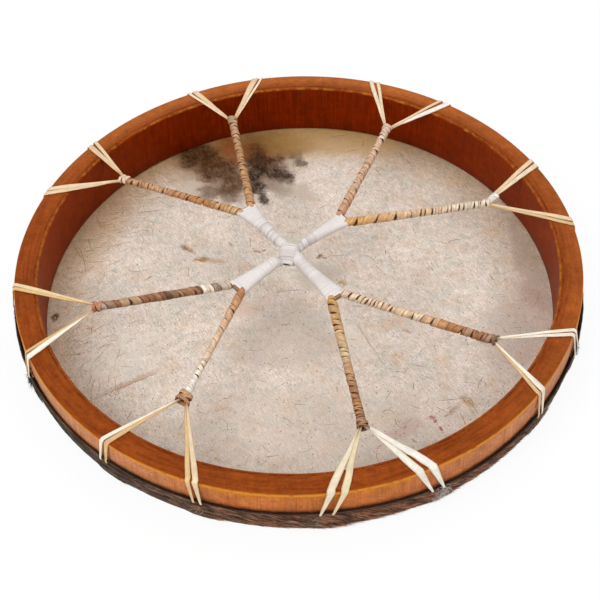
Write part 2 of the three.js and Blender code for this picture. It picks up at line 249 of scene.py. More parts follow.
# Bent hardwood under a red-brown stain and satin varnish: fine grain that stands upright on both walls,
# a mottled sawn rim, and pale gold lines along its edges. The rim's outer half is paler toward the back, a
# painted reflection of the varnish, and toward the right, painted light; the inner wall is painted paler
# toward both sides than at its shaded back.
@dataclass(frozen=True)
class VarnishedHardwood(Finish):
    """Stained and varnished bent hardwood of the hoop."""

    label: str = "varnished_bent_hardwood"
    rim: str = "8a4115"
    streak: str = "6e2908"
    # Painted reflection and painted light on the rim's outer half, toward the back and the right.
    rim_sheen: str = "ab5f2b"
    inner_wall: str = "7d2400"
    inner_grain: str = "661b00"
    # Painted light: the inner wall is paler toward both sides than at its shaded back.
    inner_side_lit: str = "8a340a"
    outer_wall: str = "c27340"
    outer_grain: str = "96491c"
    outer_top: str = "c6782c"
    outer_side: str = "cc906a"
    crack: str = "4a1a04"
    edge_gold: str = "cd852c"
    roughness: float = 0.48
    mirror: float = 0.12
    mirror_tint: str = "cf8a52"
    # Real pores are about 0.3 mm apart; they are drawn 1.3 mm apart so that they show.
    grain_width: float = 1.3 * MM
    grain_length: float = 40 * MM
    grain_relief: float = 0.3 * MM
    streak_width: float = 2.6 * MM
    streak_length: float = 30 * MM
    cloud: float = 60 * MM
    blot: float = 8 * MM
    fleck: float = 2.2 * MM
    # Distances to the left (negative) and the right at which the outer wall is palest, with its share there.
    outer_pales: tuple[Span, ...] = ((-180 * MM, 0.95), (210 * MM, 0.8))
    wall_ends: float = 2 * MM
    seam_inset: float = 2.8 * MM
    # Pale gold lines along the edges: distance in from the outer wall, depth below the rim, how much of the
    # edge they cover, and how strongly.
    gold_edges: tuple[tuple[float, float, float, float], ...] = (
        (0.0, 1.6 * MM, 0.6, 0.95), (20 * MM, 1.0 * MM, 0.44, 0.62))

    def paint(self, add: AddNode, surface: Node) -> None:
        """Lay the pattern's nodes and link them to the surface shader.

        Args:
            add: adds a node to the material.
            surface: its surface shader.
        """
        high = solid_box("hoop")[1]
        outside, top = high.x, high.z
        inside = outside - Hoop.wall
        position, flat, radius = drum_place(add)
        right, behind, height = (add("SeparateXYZ", position, out=axis) for axis in "XYZ")
        beside = add("Math", right, operation="ABSOLUTE")

        upright = (1 / self.grain_width, 1 / self.grain_width, 1 / self.grain_length)
        grain_at = add("VectorMath", position, upright, operation="MULTIPLY")
        grain = add("TexNoise", {"Vector": grain_at, "Scale": 1.0, "Detail": 3.0})
        facing = add("VectorMath", flat, operation="NORMALIZE")
        turned = add("VectorMath", {0: facing, "Scale": outside / self.streak_length}, operation="SCALE")
        inward = add("Math", radius, self.streak_width, operation="DIVIDE")
        layer = add("CombineXYZ", {"Z": inward})
        streak_at = add("VectorMath", turned, layer, operation="ADD")
        streak = add("TexNoise", {"Vector": streak_at, "Scale": 1.0, "Detail": 4.0})
        noises = ((self.cloud, 2.0, 0.5), (self.blot, 4.0, 0.65), (self.fleck, 2.0, 0.5))
        cloud, blot, fleck = (
            add("TexNoise", {"Vector": position, "Scale": 1 / size, "Detail": detail, "Roughness": roughness})
            for size, detail, roughness in noises)

        fine = add("MapRange", grain, 0.38, 0.68)
        # Painted light: the inner wall pales toward both sides, away from its shaded back.
        near, far = 130 * MM, 225 * MM
        lit_sides = add("MapRange", beside, near, far, 0, 0.6)
        inner = linear(self.inner_wall)
        for share, colour in ((fine, self.inner_grain), (lit_sides, self.inner_side_lit)):
            inner = add("Mix", {FACTOR: share, FIRST: inner, SECOND: linear(colour)}, **COLOURS)

        low, high = (top - depth for depth in (14 * MM, 4 * MM))
        climb = add("MapRange", height, low, high)
        pale = [
            (add("MapRange", right, 0.3 * reach, reach, 0, share), self.outer_side)
            for reach, share in self.outer_pales]
        speckled = add("MapRange", fleck, 0.47, 0.66, 0, 0.7)
        faint = add("Math", fine, 0.6, operation="MULTIPLY")
        faint = add("Math", faint, speckled, operation="MAXIMUM")
        outer = linear(self.outer_wall)
        for share, colour in ((climb, self.outer_top), *pale, (faint, self.outer_grain)):
            outer = add("Mix", {FACTOR: share, FIRST: outer, SECOND: linear(colour)}, **COLOURS)

        long_streak = add("MapRange", streak, 0.42, 0.72, 0, 0.8)
        # Painted reflection and painted light: the rim's outer half pales toward the back and toward the lit
        # right side.
        near, far = 60 * MM, 200 * MM
        far_sheen = add("MapRange", behind, near, far, 0, 0.85)
        near, far = 120 * MM, 230 * MM
        lit = add("MapRange", right, near, far, 0, 0.36)
        pale = add("Math", far_sheen, lit, operation="MAXIMUM")
        near, far = (inside + distance for distance in (3 * MM, 13 * MM))
        outward = add("MapRange", radius, near, far)
        pale = add("Math", pale, outward, operation="MULTIPLY")
        rim = linear(self.rim)
        for share, colour in ((long_streak, self.streak), (pale, self.rim_sheen)):
            rim = add("Mix", {FACTOR: share, FIRST: rim, SECOND: linear(colour)}, **COLOURS)

        middle = (inside + outside) / 2
        is_outer = add("MapRange", radius, middle - self.wall_ends, middle + self.wall_ends)
        low, high = (top - depth for depth in (2.2 * MM, 0.6 * MM))
        is_rim = add("MapRange", height, low, high)
        wood = inner
        for share, face in ((is_outer, outer), (is_rim, rim)):
            wood = add("Mix", {FACTOR: share, FIRST: wood, SECOND: face}, **COLOURS)
        wood = mottled(add, wood, ((blot, 0.2), (cloud, 0.12), (fleck, 0.1)))

        off_seam = add("Math", radius, inside + self.seam_inset, operation="SUBTRACT")
        off_seam = add("Math", off_seam, operation="ABSOLUTE")
        far, near = 1.0 * MM, 0.3 * MM
        seam = add("MapRange", off_seam, far, near, 0, 0.8)
        broken = add("MapRange", blot, 0.46, 0.56)
        for factor in (is_rim, broken):
            seam = add("Math", seam, factor, operation="MULTIPLY")
        marks = [(seam, self.crack)]
        far, near = 2.0 * MM, 0.4 * MM
        for inset, depth, rub, share in self.gold_edges:
            off_edge = add("Math", radius, outside - inset, operation="SUBTRACT")
            off_top = add("Math", height, top - depth, operation="SUBTRACT")
            offset = add("CombineXYZ", {"X": off_edge, "Y": off_top})
            away = add("VectorMath", offset, out="Value", operation="LENGTH")
            close = add("MapRange", away, far, near, interpolation_type="SMOOTHSTEP")
            gold_share = add("MapRange", blot, rub + 0.1, rub - 0.1, 0, share)
            marks.append((add("Math", close, gold_share, operation="MULTIPLY"), self.edge_gold))
        for share, colour in marks:
            wood = add("Mix", {FACTOR: share, FIRST: wood, SECOND: linear(colour)}, **COLOURS)

        relief = add("Mix", {0: is_rim, 2: grain, 3: streak}, data_type="FLOAT")
        bump = add("Bump", {"Strength": 0.25, "Distance": self.grain_relief, "Height": relief}, out="Normal")
        gloss = add("MapRange", cloud, 0, 1, self.roughness - 0.08, self.roughness + 0.1)
        feed(surface, {
            "Base Color": wood, "Roughness": gloss, "Normal": bump,
            "Specular IOR Level": self.mirror, "Specular Tint": linear(self.mirror_tint),
        })


@dataclass(frozen=True)
class Stain:
    """A mark on the skin, in millimetres and degrees; its depth is the share of the skin that it hides."""

    x: float
    y: float
    length: float
    width: float
    turn: float
    colour: str
    depth: float


# Pigment and scars of this skin: the dark hair patch near the back, and small scars and clouds.
STAINS = tuple(Stain(*row) for row in (
    (0, -150, 150, 60, 0, "b7a696", 0.35),
    (-58, 202, 84, 36, 4, "8d6030", 0.8),
    (-58, 170, 66, 46, 8, "86582c", 0.62),
    (-20, 206, 46, 20, -8, "7c5228", 0.7),
    (-22, 150, 24, 14, -60, "6b5040", 0.6),
    (-98, 194, 26, 22, 30, "3c240e", 0.88),
    (-76, 173, 27, 23, -20, "44260c", 0.85),
    (-62, 151, 17, 16, 40, "4e3014", 0.8),
    (-85, 138, 16, 12, 30, "54381c", 0.62),
    (-66, 137, 15, 12, -20, "5a3c20", 0.6),
    (-62, 204, 19, 14, -30, "8a4a20", 0.75),
    (-53, 187, 10, 13, 80, "7d4018", 0.6),
    (-37, 196, 17, 11, -20, "563010", 0.78),
    (-30, 185, 22, 11, 0, "38200c", 0.85),
    (-38, 168, 20, 13, 75, "2c1a0c", 0.93),
    (-18, 166, 18, 15, -20, "36200e", 0.9),
    (-7, 156, 13, 9, -30, "3a2410", 0.82),
    (-37, 143, 17, 9, -65, "301e0f", 0.9),
    (-31, 127, 10, 6, -65, "2d1f12", 0.85),
    (6, 178, 9, 8.5, 0, "472e14", 0.72),
    (1, 189, 9, 8.5, 0, "5a3e22", 0.55),
    (-100, 150, 15, 10, 20, "d0c0ae", 0.6),
    (0, 138, 28, 15, -30, "b09f8e", 0.5),
    (46, 212, 92, 34, -8, "bd9552", 0.55),
    (-190, 90, 70, 26, 62, "b8946f", 0.3),
    (-9, -50, 66, 50, 0, "b0a192", 0.36),
    (20, 24, 26, 20, 0, "b8ab9c", 0.6),
    (-48, -12, 24, 12, 10, "c39f86", 0.4),
    (192, -50, 70, 34, 70, "b59c90", 0.36),
    (214, 30, 60, 15, 98, "937a68", 0.4),
    (212, -12, 24, 12, -60, "ae8676", 0.4),
    (-162, -66, 50, 30, 25, "e2d8cc", 0.35),
    (108, -143, 3.5, 1.6, -20, "a04a34", 0.85),
    (110, -147, 2.6, 1.5, 50, "9c4632", 0.8),
    (114, -155, 4, 1.4, -70, "9c4632", 0.85),
    (120, -142, 2.2, 1.2, 30, "a8583e", 0.7),
    (84, -152, 3, 1.2, 60, "a5604c", 0.6),
    (91, -166, 3.5, 1.3, -40, "9d5a48", 0.6),
    (62, -170, 2.6, 1.3, 20, "a5604c", 0.55),
    (126, -137, 9, 3, 40, "a8775c", 0.6),
    (141, -129, 9, 5, -40, "b8935e", 0.5),
    (137, -126, 5, 0.8, -60, "8a6038", 0.6),
    (80, -155, 26, 10, 30, "b08a80", 0.4),
    (21, 48, 4, 2.2, 40, "7d5a34", 0.85),
    (25, 46, 3.4, 1.7, -15, "8f6a42", 0.7),
    (38, 48, 12, 0.8, 3, "9c8672", 0.6),
    (40, 14, 3.6, 3, 0, "b58a52", 0.75),
    (42, 11, 2.8, 2, 60, "a87c48", 0.65),
    (-38, 57, 5, 2.2, -30, "9a7450", 0.7),
    (-32, 58, 3, 1.4, 20, "8f6a42", 0.7),
    (-63, 68, 3.4, 1.6, -60, "a37a4c", 0.65),
    (-139, 29, 6, 1.2, 36, "a5794e", 0.7),
    (-107, 66, 6, 3.4, -40, "8f5a28", 0.85),
    (-102, 62, 6, 2, -35, "a06a34", 0.75),
    (-81, 48, 19, 3.2, -12, "b38a5e", 0.6),
    (-91, 50, 8, 2.6, 8, "9a6c3c", 0.75),
    (-222, -15, 5.4, 3.8, 80, "4f3018", 0.95),
    (-222, -16, 2, 1.5, 80, "b8946c", 0.8),
    (-150, -93, 36, 2.6, 26, "bd967a", 0.65),
    (-149, -95, 34, 0.9, 26, "94683f", 0.6),
    (44, -52, 34, 12, -60, "dccfc1", 0.6),
    (82, -38, 20, 8, 20, "cba88c", 0.45),
    (60, -58, 33, 0.9, -67, "8f7660", 0.4),
    (95, -48, 6, 2.2, -20, "b48068", 0.6),
))


# Dried goat rawhide, scraped on the flesh side: a matt, mottled cream sheet with pores, veins and dark
# pigment that shows through from the hair side.
@dataclass(frozen=True)
class GoatRawhide(Finish):
    """Scraped and dried goat rawhide of the head."""

    label: str = "dried_goat_rawhide"
    cream: str = "e2d3c6"
    grey: str = "c3b6ac"
    warm: str = "cdb092"
    cool: str = "c3c1b4"
    pink: str = "d2b7a6"
    # Near the wood the skin is partly tanned and partly painted with shade and the wood's reflected warmth.
    rim_tan_and_shade: str = "b08e60"
    pore: str = "735d4c"
    # The fold's up-facing cut edge is painted near black: the shadow in the gap against the wood.
    edge_shadow: str = "33211a"
    bare_edge: str = "8a6a48"
    hair_root: str = "4d3528"
    roughness: float = 0.68
    ior: float = 1.45
    mirror: float = 0.15
    broad: float = 70 * MM
    blotch: float = 22 * MM
    hue: float = 18 * MM
    # Pores are about 0.15 mm wide; they are drawn about 0.9 mm wide so that they show.
    pore_spacing: float = 3.2 * MM
    wrinkle: float = 3 * MM
    wrinkle_relief: float = 0.4 * MM
    # Hair strokes are about 0.1 mm wide; they are drawn 1.2 mm wide so that they show.
    stroke_width: float = 1.2 * MM
    stroke_length: float = 6 * MM
    # Direction that the strokes are combed in, in degrees.
    comb: float = -62
    grain: float = 1.3 * MM
    mottle: float = 7 * MM
    # Two sizes of raggedness of a stain's outline, each with its reach and its share in wide, narrow and
    # small stains.
    ragged: tuple[tuple[float, ...], ...] = (
        (16 * MM, 12 * MM, 1.0, 0.12, 0.06), (3.2 * MM, 4 * MM, 1.0, 0.9, 0.4))
    # Half widths above which a stain is wide, and narrow, in millimetres.
    wide_stain: float = 8
    narrow_stain: float = 1.8
    # Direction in which the fold's cut edge is bare of hair and of the painted shadow, showing its own tan,
    # in degrees.
    bare_turn: float = 222

    def paint(self, add: AddNode, surface: Node) -> None:
        """Lay the pattern's nodes and link them to the surface shader.

        Args:
            add: adds a node to the material.
            surface: its surface shader.
        """
        position, flat, radius = drum_place(add)
        skin, strokes, mottle = self.paint_hide(add, flat, radius)
        tufted = add("Mix", {0: 0.5, 2: strokes, 3: mottle}, data_type="FLOAT")
        hairy = add("MapRange", tufted, 0.36, 0.56, 0.66, 1.12)
        skin = self.paint_stains(add, skin, flat, hairy)
        skin = self.paint_pores(add, skin, position, flat)
        skin = self.paint_fold(add, skin, flat, radius)
        creases = add(
            "TexNoise", {"Vector": flat, "Scale": 1 / self.wrinkle, "Detail": 4.0, "Roughness": 0.65})
        bump = add(
            "Bump", {"Strength": 0.3, "Distance": self.wrinkle_relief, "Height": creases}, out="Normal")
        feed(surface, {
            "Base Color": skin, "Normal": bump, "Roughness": self.roughness, "IOR": self.ior,
            "Specular IOR Level": self.mirror,
        })

    def paint_hide(self, add: AddNode, flat: Socket, radius: Socket) -> tuple[Socket, Socket, Socket]:
        """Lay the plain hide: broad clouds, tints, the tan and painted shade near the wood, and the nap of
        the hair.

        Args:
            add: adds a node to the material.
            flat: place on the head.
            radius: distance from the drum's axis.

        Returns:
            The hide's colour, the pattern of combed strokes and the pattern of small blots.
        """
        broad = add("TexNoise", {"Vector": flat, "Scale": 1 / self.broad, "Detail": 3.0})
        blotch = add("TexNoise", {"Vector": flat, "Scale": 1 / self.blotch, "Detail": 5.0, "Roughness": 0.6})
        spread = add("MapRange", broad, 0.36, 0.66, 0.15, 0.75)
        patches = add("MapRange", blotch, 0.5, 0.74, 0, 0.75)
        coats = [(spread, self.grey), (patches, self.warm)]
        for shift, colour, depth in (((0.3, 0.1, 0.7), self.cool, 0.5), ((0.8, 0.5, 0.2), self.pink, 0.2)):
            shifted = add("VectorMath", flat, shift, operation="ADD")
            hue = add("TexNoise", {"Vector": shifted, "Scale": 1 / self.hue, "Detail": 2.0})
            coats.append((add("MapRange", hue, 0.47, 0.7, 0, depth), colour))
        # Near the wood, most toward the back, the skin is partly real tan and partly painted shade and
        # painted reflection of the wood's colour.
        near, far = 165 * MM, 240 * MM
        outward = add("MapRange", radius, near, far, interpolation_type="SMOOTHSTEP")
        backward = add("VectorMath", flat, (-1.2, 3.4, 0), out="Value", operation="DOT_PRODUCT")
        behind = add("MapRange", backward, -0.5, 0.75, 0.15, 0.9)
        tan_and_shade = add("Math", outward, behind, operation="MULTIPLY")
        skin = linear(self.cream)
        for share, colour in (*coats, (tan_and_shade, self.rim_tan_and_shade)):
            skin = add("Mix", {FACTOR: share, FIRST: skin, SECOND: linear(colour)}, **COLOURS)

        combing = {
            "Vector": flat,
            "Rotation": (0, 0, radians(self.comb)),
            "Scale": (self.stroke_length, self.stroke_width, 1),
        }
        combed = add("Mapping", combing, vector_type="TEXTURE")
        strokes = add("TexNoise", {"Vector": combed, "Scale": 1.0, "Detail": 3.0, "Distortion": 0.6})
        grain = add("TexNoise", {"Vector": flat, "Scale": 1 / self.grain, "Detail": 2.0})
        mottle = add("TexNoise", {"Vector": flat, "Scale": 1 / self.mottle, "Detail": 4.0, "Roughness": 0.65})
        skin = mottled(add, skin, ((strokes, 0.17), (grain, 0.17), (mottle, 0.14)))
        return skin, strokes, mottle

    def paint_stains(self, add: AddNode, skin: Socket, flat: Socket, hairy: Socket) -> Socket:
        """Lay the stains and scars, the small ones with the smoothest outlines.

        Args:
            add: adds a node to the material.
            skin: the hide's colour.
            flat: place on the head.
            hairy: factor that breaks each stain up into hairs and blots.

        Returns:
            The stained colour.
        """
        outlines = [flat, flat, flat]
        for size, reach, *shares in self.ragged:
            jitter = add("TexNoise", {"Vector": flat, "Scale": 1 / size, "Detail": 3.0}, out="Color")
            centred = add("VectorMath", jitter, (0.5, 0.5, 0.5), operation="SUBTRACT")
            level = add("VectorMath", centred, (1, 1, 0), operation="MULTIPLY")
            for number, share in enumerate(shares):
                nudge = add("VectorMath", {0: level, "Scale": 2 * reach * share}, operation="SCALE")
                outlines[number] = add("VectorMath", outlines[number], nudge, operation="ADD")
        wide, narrow, small = outlines
        for stain in STAINS:
            outline = narrow if stain.width > self.narrow_stain else small
            placing = {
                "Vector": wide if stain.width > self.wide_stain else outline,
                "Location": (stain.x * MM, stain.y * MM, 0),
                "Rotation": (0, 0, radians(stain.turn)),
                "Scale": (stain.length * MM, stain.width * MM, 1),
            }
            within = add("Mapping", placing, vector_type="TEXTURE")
            away = add("VectorMath", within, out="Value", operation="LENGTH")
            share = add("MapRange", away, 1.15, 0.45, 0, stain.depth, interpolation_type="SMOOTHSTEP")
            share = add("Math", share, hairy, operation="MULTIPLY", use_clamp=True)
            skin = add("Mix", {FACTOR: share, FIRST: skin, SECOND: linear(stain.colour)}, **COLOURS)
        return skin

    def paint_pores(self, add: AddNode, skin: Socket, position: Socket, flat: Socket) -> Socket:
        """Prick the skin with pores, more of them toward the front.

        Args:
            add: adds a node to the material.
            skin: the skin's colour.
            position: place on the drum.
            flat: place on the head.

        Returns:
            The colour with pores.
        """
        away = add("TexVoronoi", {"Vector": flat, "Scale": 1 / self.pore_spacing}, out="Distance")
        dot = add("MapRange", away, 0.26, 0.1)
        chance = add("SeparateColor", away.node.outputs["Color"], out="Red")
        backward = add("SeparateXYZ", position, out="Y")
        start, stop = 120 * MM, -180 * MM
        rarity = add("MapRange", backward, start, stop, 0.9, 0.62)
        pores = add("Math", chance, rarity, operation="GREATER_THAN")
        for factor in (dot, 0.8):
            pores = add("Math", pores, factor, operation="MULTIPLY")
        return add("Mix", {FACTOR: pores, FIRST: skin, SECOND: linear(self.pore)}, **COLOURS)

    def paint_fold(self, add: AddNode, skin: Socket, flat: Socket, radius: Socket) -> Socket:
        """Darken the fold under its hair, and paint the gap's shadow on its cut edge where that isn't bare.

        Args:
            add: adds a node to the material.
            skin: the skin's colour.
            flat: place on the head.
            radius: distance from the drum's axis.

        Returns:
            The colour with the fold.
        """
        fold_radius = solid_box("drumhead")[1].x
        near, far = (fold_radius - inset for inset in (16 * MM, 4 * MM))
        on_fold = add("MapRange", radius, near, far)
        normal = add("NewGeometry", out="Normal")
        upward = add("SeparateXYZ", normal, out="Z")
        on_edge = add("MapRange", upward, 0.35, 0.7)
        on_edge = add("Math", on_edge, on_fold, operation="MULTIPLY")
        toward = tuple(heading(radians(self.bare_turn)))
        beside = add("VectorMath", flat, toward, out="Value", operation="DOT_PRODUCT")
        near, far = (share * fold_radius for share in (0.97, 0.997))
        bare = add("MapRange", beside, near, far, 0, 0.7)
        # Painted shadow: the up-facing cut edge is near black, as in the gap against the wood, but for its
        # bare tan stretch.
        edge = add(
            "Mix", {FACTOR: bare, FIRST: linear(self.edge_shadow), SECOND: linear(self.bare_edge)}, **COLOURS)
        for share, colour in ((on_fold, linear(self.hair_root)), (on_edge, edge)):
            skin = add("Mix", {FACTOR: share, FIRST: skin, SECOND: colour}, **COLOURS)
        return skin


# Strips cut from hide and dried under tension: smooth, faintly fibrous faces whose cut edges are darker,
# on the wound strips also as painted shade between the turns.
# Each strip carries its own tone, and its place along and across the strip, in its mesh.
@dataclass(frozen=True)
class HideStrip(Finish):
    """Cut hide strip, with the colour of each strip taken from its mesh."""

    label: str
    edge: str
    edge_and_shade_depth: float
    fibre_depth: float
    roughness: float
    sheen: float = 0.0
    ior: float = 1.45
    edge_start: float = 0.6
    # Fibres are about 0.2 mm apart; they are drawn 1 mm apart so that they show.
    fibre_width: float = 1.0 * MM
    fibre_length: float = 14 * MM
    fibre_relief: float = 0.2 * MM
    blotch: float = 7 * MM

    def paint(self, add: AddNode, surface: Node) -> None:
        """Lay the pattern's nodes and link them to the surface shader.

        Args:
            add: adds a node to the material.
            surface: its surface shader.
        """
        tone = add("Attribute", out="Color", attribute_name="tone")
        lie = add("Attribute", out="Vector", attribute_name="lie")
        rub = add("Attribute", out="Fac", attribute_name="rub")
        patterns = []
        for length, width, detail in (
            (self.fibre_length, self.fibre_width, 3.0), (self.blotch, self.blotch, 4.0),
        ):
            at = add("VectorMath", lie, (1 / length, 1 / width, 1), operation="MULTIPLY")
            patterns.append(add("TexNoise", {"Vector": at, "Scale": 1.0, "Detail": detail}))
        fibre, blot = patterns
        hide = mottled(add, tone, ((fibre, self.fibre_depth), (blot, self.fibre_depth)))
        # The edges take their own darker colour, and on the wound strips also painted shade between the
        # turns.
        cut = add("MapRange", rub, self.edge_start, 1.0, 0, self.edge_and_shade_depth)
        uneven = add("MapRange", blot, 0.36, 0.62, 0.1, 1.2)
        cut = add("Math", cut, uneven, operation="MULTIPLY")
        hide = add("Mix", {FACTOR: cut, FIRST: hide, SECOND: linear(self.edge)}, **COLOURS)
        bump = add("Bump", {"Strength": 0.35, "Distance": self.fibre_relief, "Height": fibre}, out="Normal")
        feed(surface, {
            "Base Color": hide, "Normal": bump, "Roughness": self.roughness, "IOR": self.ior,
            "Sheen Weight": self.sheen,
        })


# Goat hair left on the folded edge: charcoal and grey-brown, each hair with its own tone, softly shiny.
@dataclass(frozen=True)
class GoatHair(Finish):
    """Short goat hair on the outside of the fold."""

    label: str = "goat_hair"
    roughness: float = 0.5
    ior: float = 1.55
    mirror: float = 0.15
    # Length over which a hair pales from its root.
    pales_over: float = 12 * MM

    def paint(self, add: AddNode, surface: Node) -> None:
        """Lay the pattern's nodes and link them to the surface shader.

        Args:
            add: adds a node to the material.
            surface: its surface shader.
        """
        tone = add("Attribute", out="Color", attribute_name="tone")
        lie = add("Attribute", out="Vector", attribute_name="lie")
        along = add("SeparateXYZ", lie, out="X")
        fade = add("MapRange", along, 0.0, self.pales_over, 0.8, 1.2)
        hair = add("Mix", {FACTOR: 1.0, FIRST: tone, SECOND: fade}, **PRODUCT)
        feed(surface, {
            "Base Color": hair, "Roughness": self.roughness, "IOR": self.ior,
            "Specular IOR Level": self.mirror,
        })


def shows_white(add: AddNode) -> Socket:
    """Tell the rays that see the studio as white from those that light the drum.

    Args:
        add: adds a node to the floor's material or the world.

    Returns:
        1 for camera, glossy and transmission rays, and 0 for the others.
    """
    rays = add("LightPath", out="Is Camera Ray")
    for kind in ("Is Glossy Ray", "Is Transmission Ray"):
        other = add("LightPath", out=kind)
        rays = add("Math", rays, other, operation="MAXIMUM")
    return rays


# Matt white paper sweep: it shows white to the lens and keeps a soft share of the shadow.
@dataclass(frozen=True)
class StudioPaper(Finish):
    """White paper floor of the studio."""

    label: str = "matt_white_paper"
    white: str = "f7f7f7"
    roughness: float = 0.9
    glow: float = 0.92

    def paint(self, add: AddNode, surface: Node) -> None:
        """Lay the glow over the paper and link both to the output.

        Args:
            add: adds a node to the material.
            surface: its surface shader.
        """
        feed(surface, {
            "Base Color": linear(self.white), "Roughness": self.roughness, "Specular IOR Level": 0.0})
        share = add("Math", shows_white(add), self.glow, operation="MULTIPLY")
        bright = add("Emission", {"Color": (1, 1, 1, 1), "Strength": 1.0})
        paper = add("MixShader", share, surface.outputs[0], bright)
        feed(surface.id_data.nodes["Material Output"], {"Surface": paper})


HARDWOOD = VarnishedHardwood()
RAWHIDE = GoatRawhide()
HAIR = GoatHair()
LACE = HideStrip("dried_rawhide_lace", "a9783f", 0.85, 0.12, 0.5)
# The wound strips' dark edges are partly painted shade between their turns.
TAN_STRIP = HideStrip("tan_wound_rawhide_strip", "3f2413", 0.85, 0.3, 0.5, edge_start=0.78, blotch=4 * MM)
WHITE_STRIP = HideStrip("white_wound_hide_strip", "98897c", 0.55, 0.05, 0.75, 0.1, edge_start=0.72)
PAPER = StudioPaper()


@dataclass
class Station:
    """A place on a strip's middle line, with the direction across it, its width and its tone."""

    at: Vector
    across: Vector
    width: float
    tone: Colour
    roll: float = 0.0
    lift: float = 0.0


# Section of a strip, round its edges, as shares of half its width and half its thickness.
STRIP_SECTION = (
    (1.0, 0.0), (0.9, 0.62), (0.55, 0.95), (0.0, 1.0), (-0.55, 0.95), (-0.9, 0.62),
    (-1.0, 0.0), (-0.9, -0.62), (-0.55, -0.95), (0.0, -1.0), (0.55, -0.95), (0.9, -0.62),
)


@dataclass
class Sketch:
    """A closed mesh in the making, with each point's tone, place on its strip and wear."""

    points: list[Vector] = field(default_factory=list)
    faces: list[tuple[int, ...]] = field(default_factory=list)
    tones: list[Colour] = field(default_factory=list)
    lies: list[tuple[float, float, float]] = field(default_factory=list)
    rubs: list[float] = field(default_factory=list)

    def loft(
        self,
        rings: Sequence[Sequence[Vector]],
        tones: Sequence[Colour],
        lies: Sequence[Sequence[tuple[float, float, float]]],
        rubs: Sequence[float],
        tip: Vector | None = None,
    ) -> None:
        """Skin a row of rings and close both ends.

        Args:
            rings: rings of equal point counts.
            tones: one colour for each ring.
            lies: one place on the strip for each point, the tip among them.
            rubs: one wear value for each point of a ring.
            tip: point in which the last ring ends, where it has no flat end.
        """
        sides = len(rings[0])
        first = len(self.points)
        for ring, tone, lie in zip(rings, tones, lies):
            self.points.extend(ring)
            self.tones.extend([tone] * sides)
            self.lies.extend(lie)
            self.rubs.extend(rubs)
        for i in range(len(rings) - 1):
            row = first + i * sides
            for k in range(sides):
                after = (k + 1) % sides
                self.faces.append((row + k, row + after, row + sides + after, row + sides + k))
        last = first + (len(rings) - 1) * sides
        self.faces.append(tuple(range(first + sides - 1, first - 1, -1)))
        if tip is None:
            self.faces.append(tuple(range(last, last + sides)))
            return
        self.points.append(tip)
        self.tones.append(tones[-1])
        self.lies.append(lies[-1][0])
        self.rubs.append(rubs[-1])
        self.faces.extend((last + k, last + (k + 1) % sides, last + sides) for k in range(sides))

    def strip(self, stations: Sequence[Station], thickness: float, number: float = 0.0) -> None:
        """Add a flat strip with rounded edges.

        Args:
            stations: places along the strip.
            thickness: the strip's thickness.
            number: sets this strip's pattern apart from its neighbours'.
        """
        rings, lies = [], []
        length = 0.0
        for i, station in enumerate(stations):
            before = stations[max(i - 1, 0)].at
            after = stations[min(i + 1, len(stations) - 1)].at
            length += (station.at - before).length
            travel = (after - before).normalized()
            face = travel.cross(station.across).normalized()
            side = station.across * cos(station.roll) + face * sin(station.roll)
            face = travel.cross(side).normalized()
            half = station.width / 2
            rings.append([
                station.at + side * (half * s) + face * (thickness / 2 * f + station.lift * s)
                for s, f in STRIP_SECTION])
            lies.append([(length, half * s, number) for s, _ in STRIP_SECTION])
        self.loft(rings, [s.tone for s in stations], lies, [abs(s) for s, _ in STRIP_SECTION])

    def piece(self, name: str) -> Object:
        """Turn the sketch into an object in the scene.

        Args:
            name: the object's name.

        Returns:
            The object, with smooth faces that look outward.
        """
        mesh = bpy.data.meshes.new(name)
        mesh.from_pydata(self.points, [], self.faces)
        tone = mesh.attributes.new("tone", "FLOAT_COLOR", "POINT")
        tone.data.foreach_set("color", [part for colour in self.tones for part in colour])
        lie = mesh.attributes.new("lie", "FLOAT_VECTOR", "POINT")
        lie.data.foreach_set("vector", [part for place in self.lies for part in place])
        rub = mesh.attributes.new("rub", "FLOAT", "POINT")
        rub.data.foreach_set("value", self.rubs)
        return closed_object(name, mesh)


@dataclass(frozen=True)
class Turn:
    """One turn of a wound strip: its start and pitch along the form, width, lean, stand-off and tone."""

    start: float
    pitch: float
    width: float
    slant: float
    stand: float
    tone: Colour


def share_out(run: float, weights: Sequence[float]) -> list[Span]:
    """Divide a run into turns.

    Args:
        run: the length to be divided.
        weights: relative pitch of each turn.

    Returns:
        Start and pitch of each turn.
    """
    scale = run / sum(weights)
    return [(scale * sum(weights[:i]), scale * weight) for i, weight in enumerate(weights)]


# Share of a turn over which a wound strip passes to the next one, and the step that gives its direction.
PASS_OVER = 0.25
PROBE = 0.5 * MM


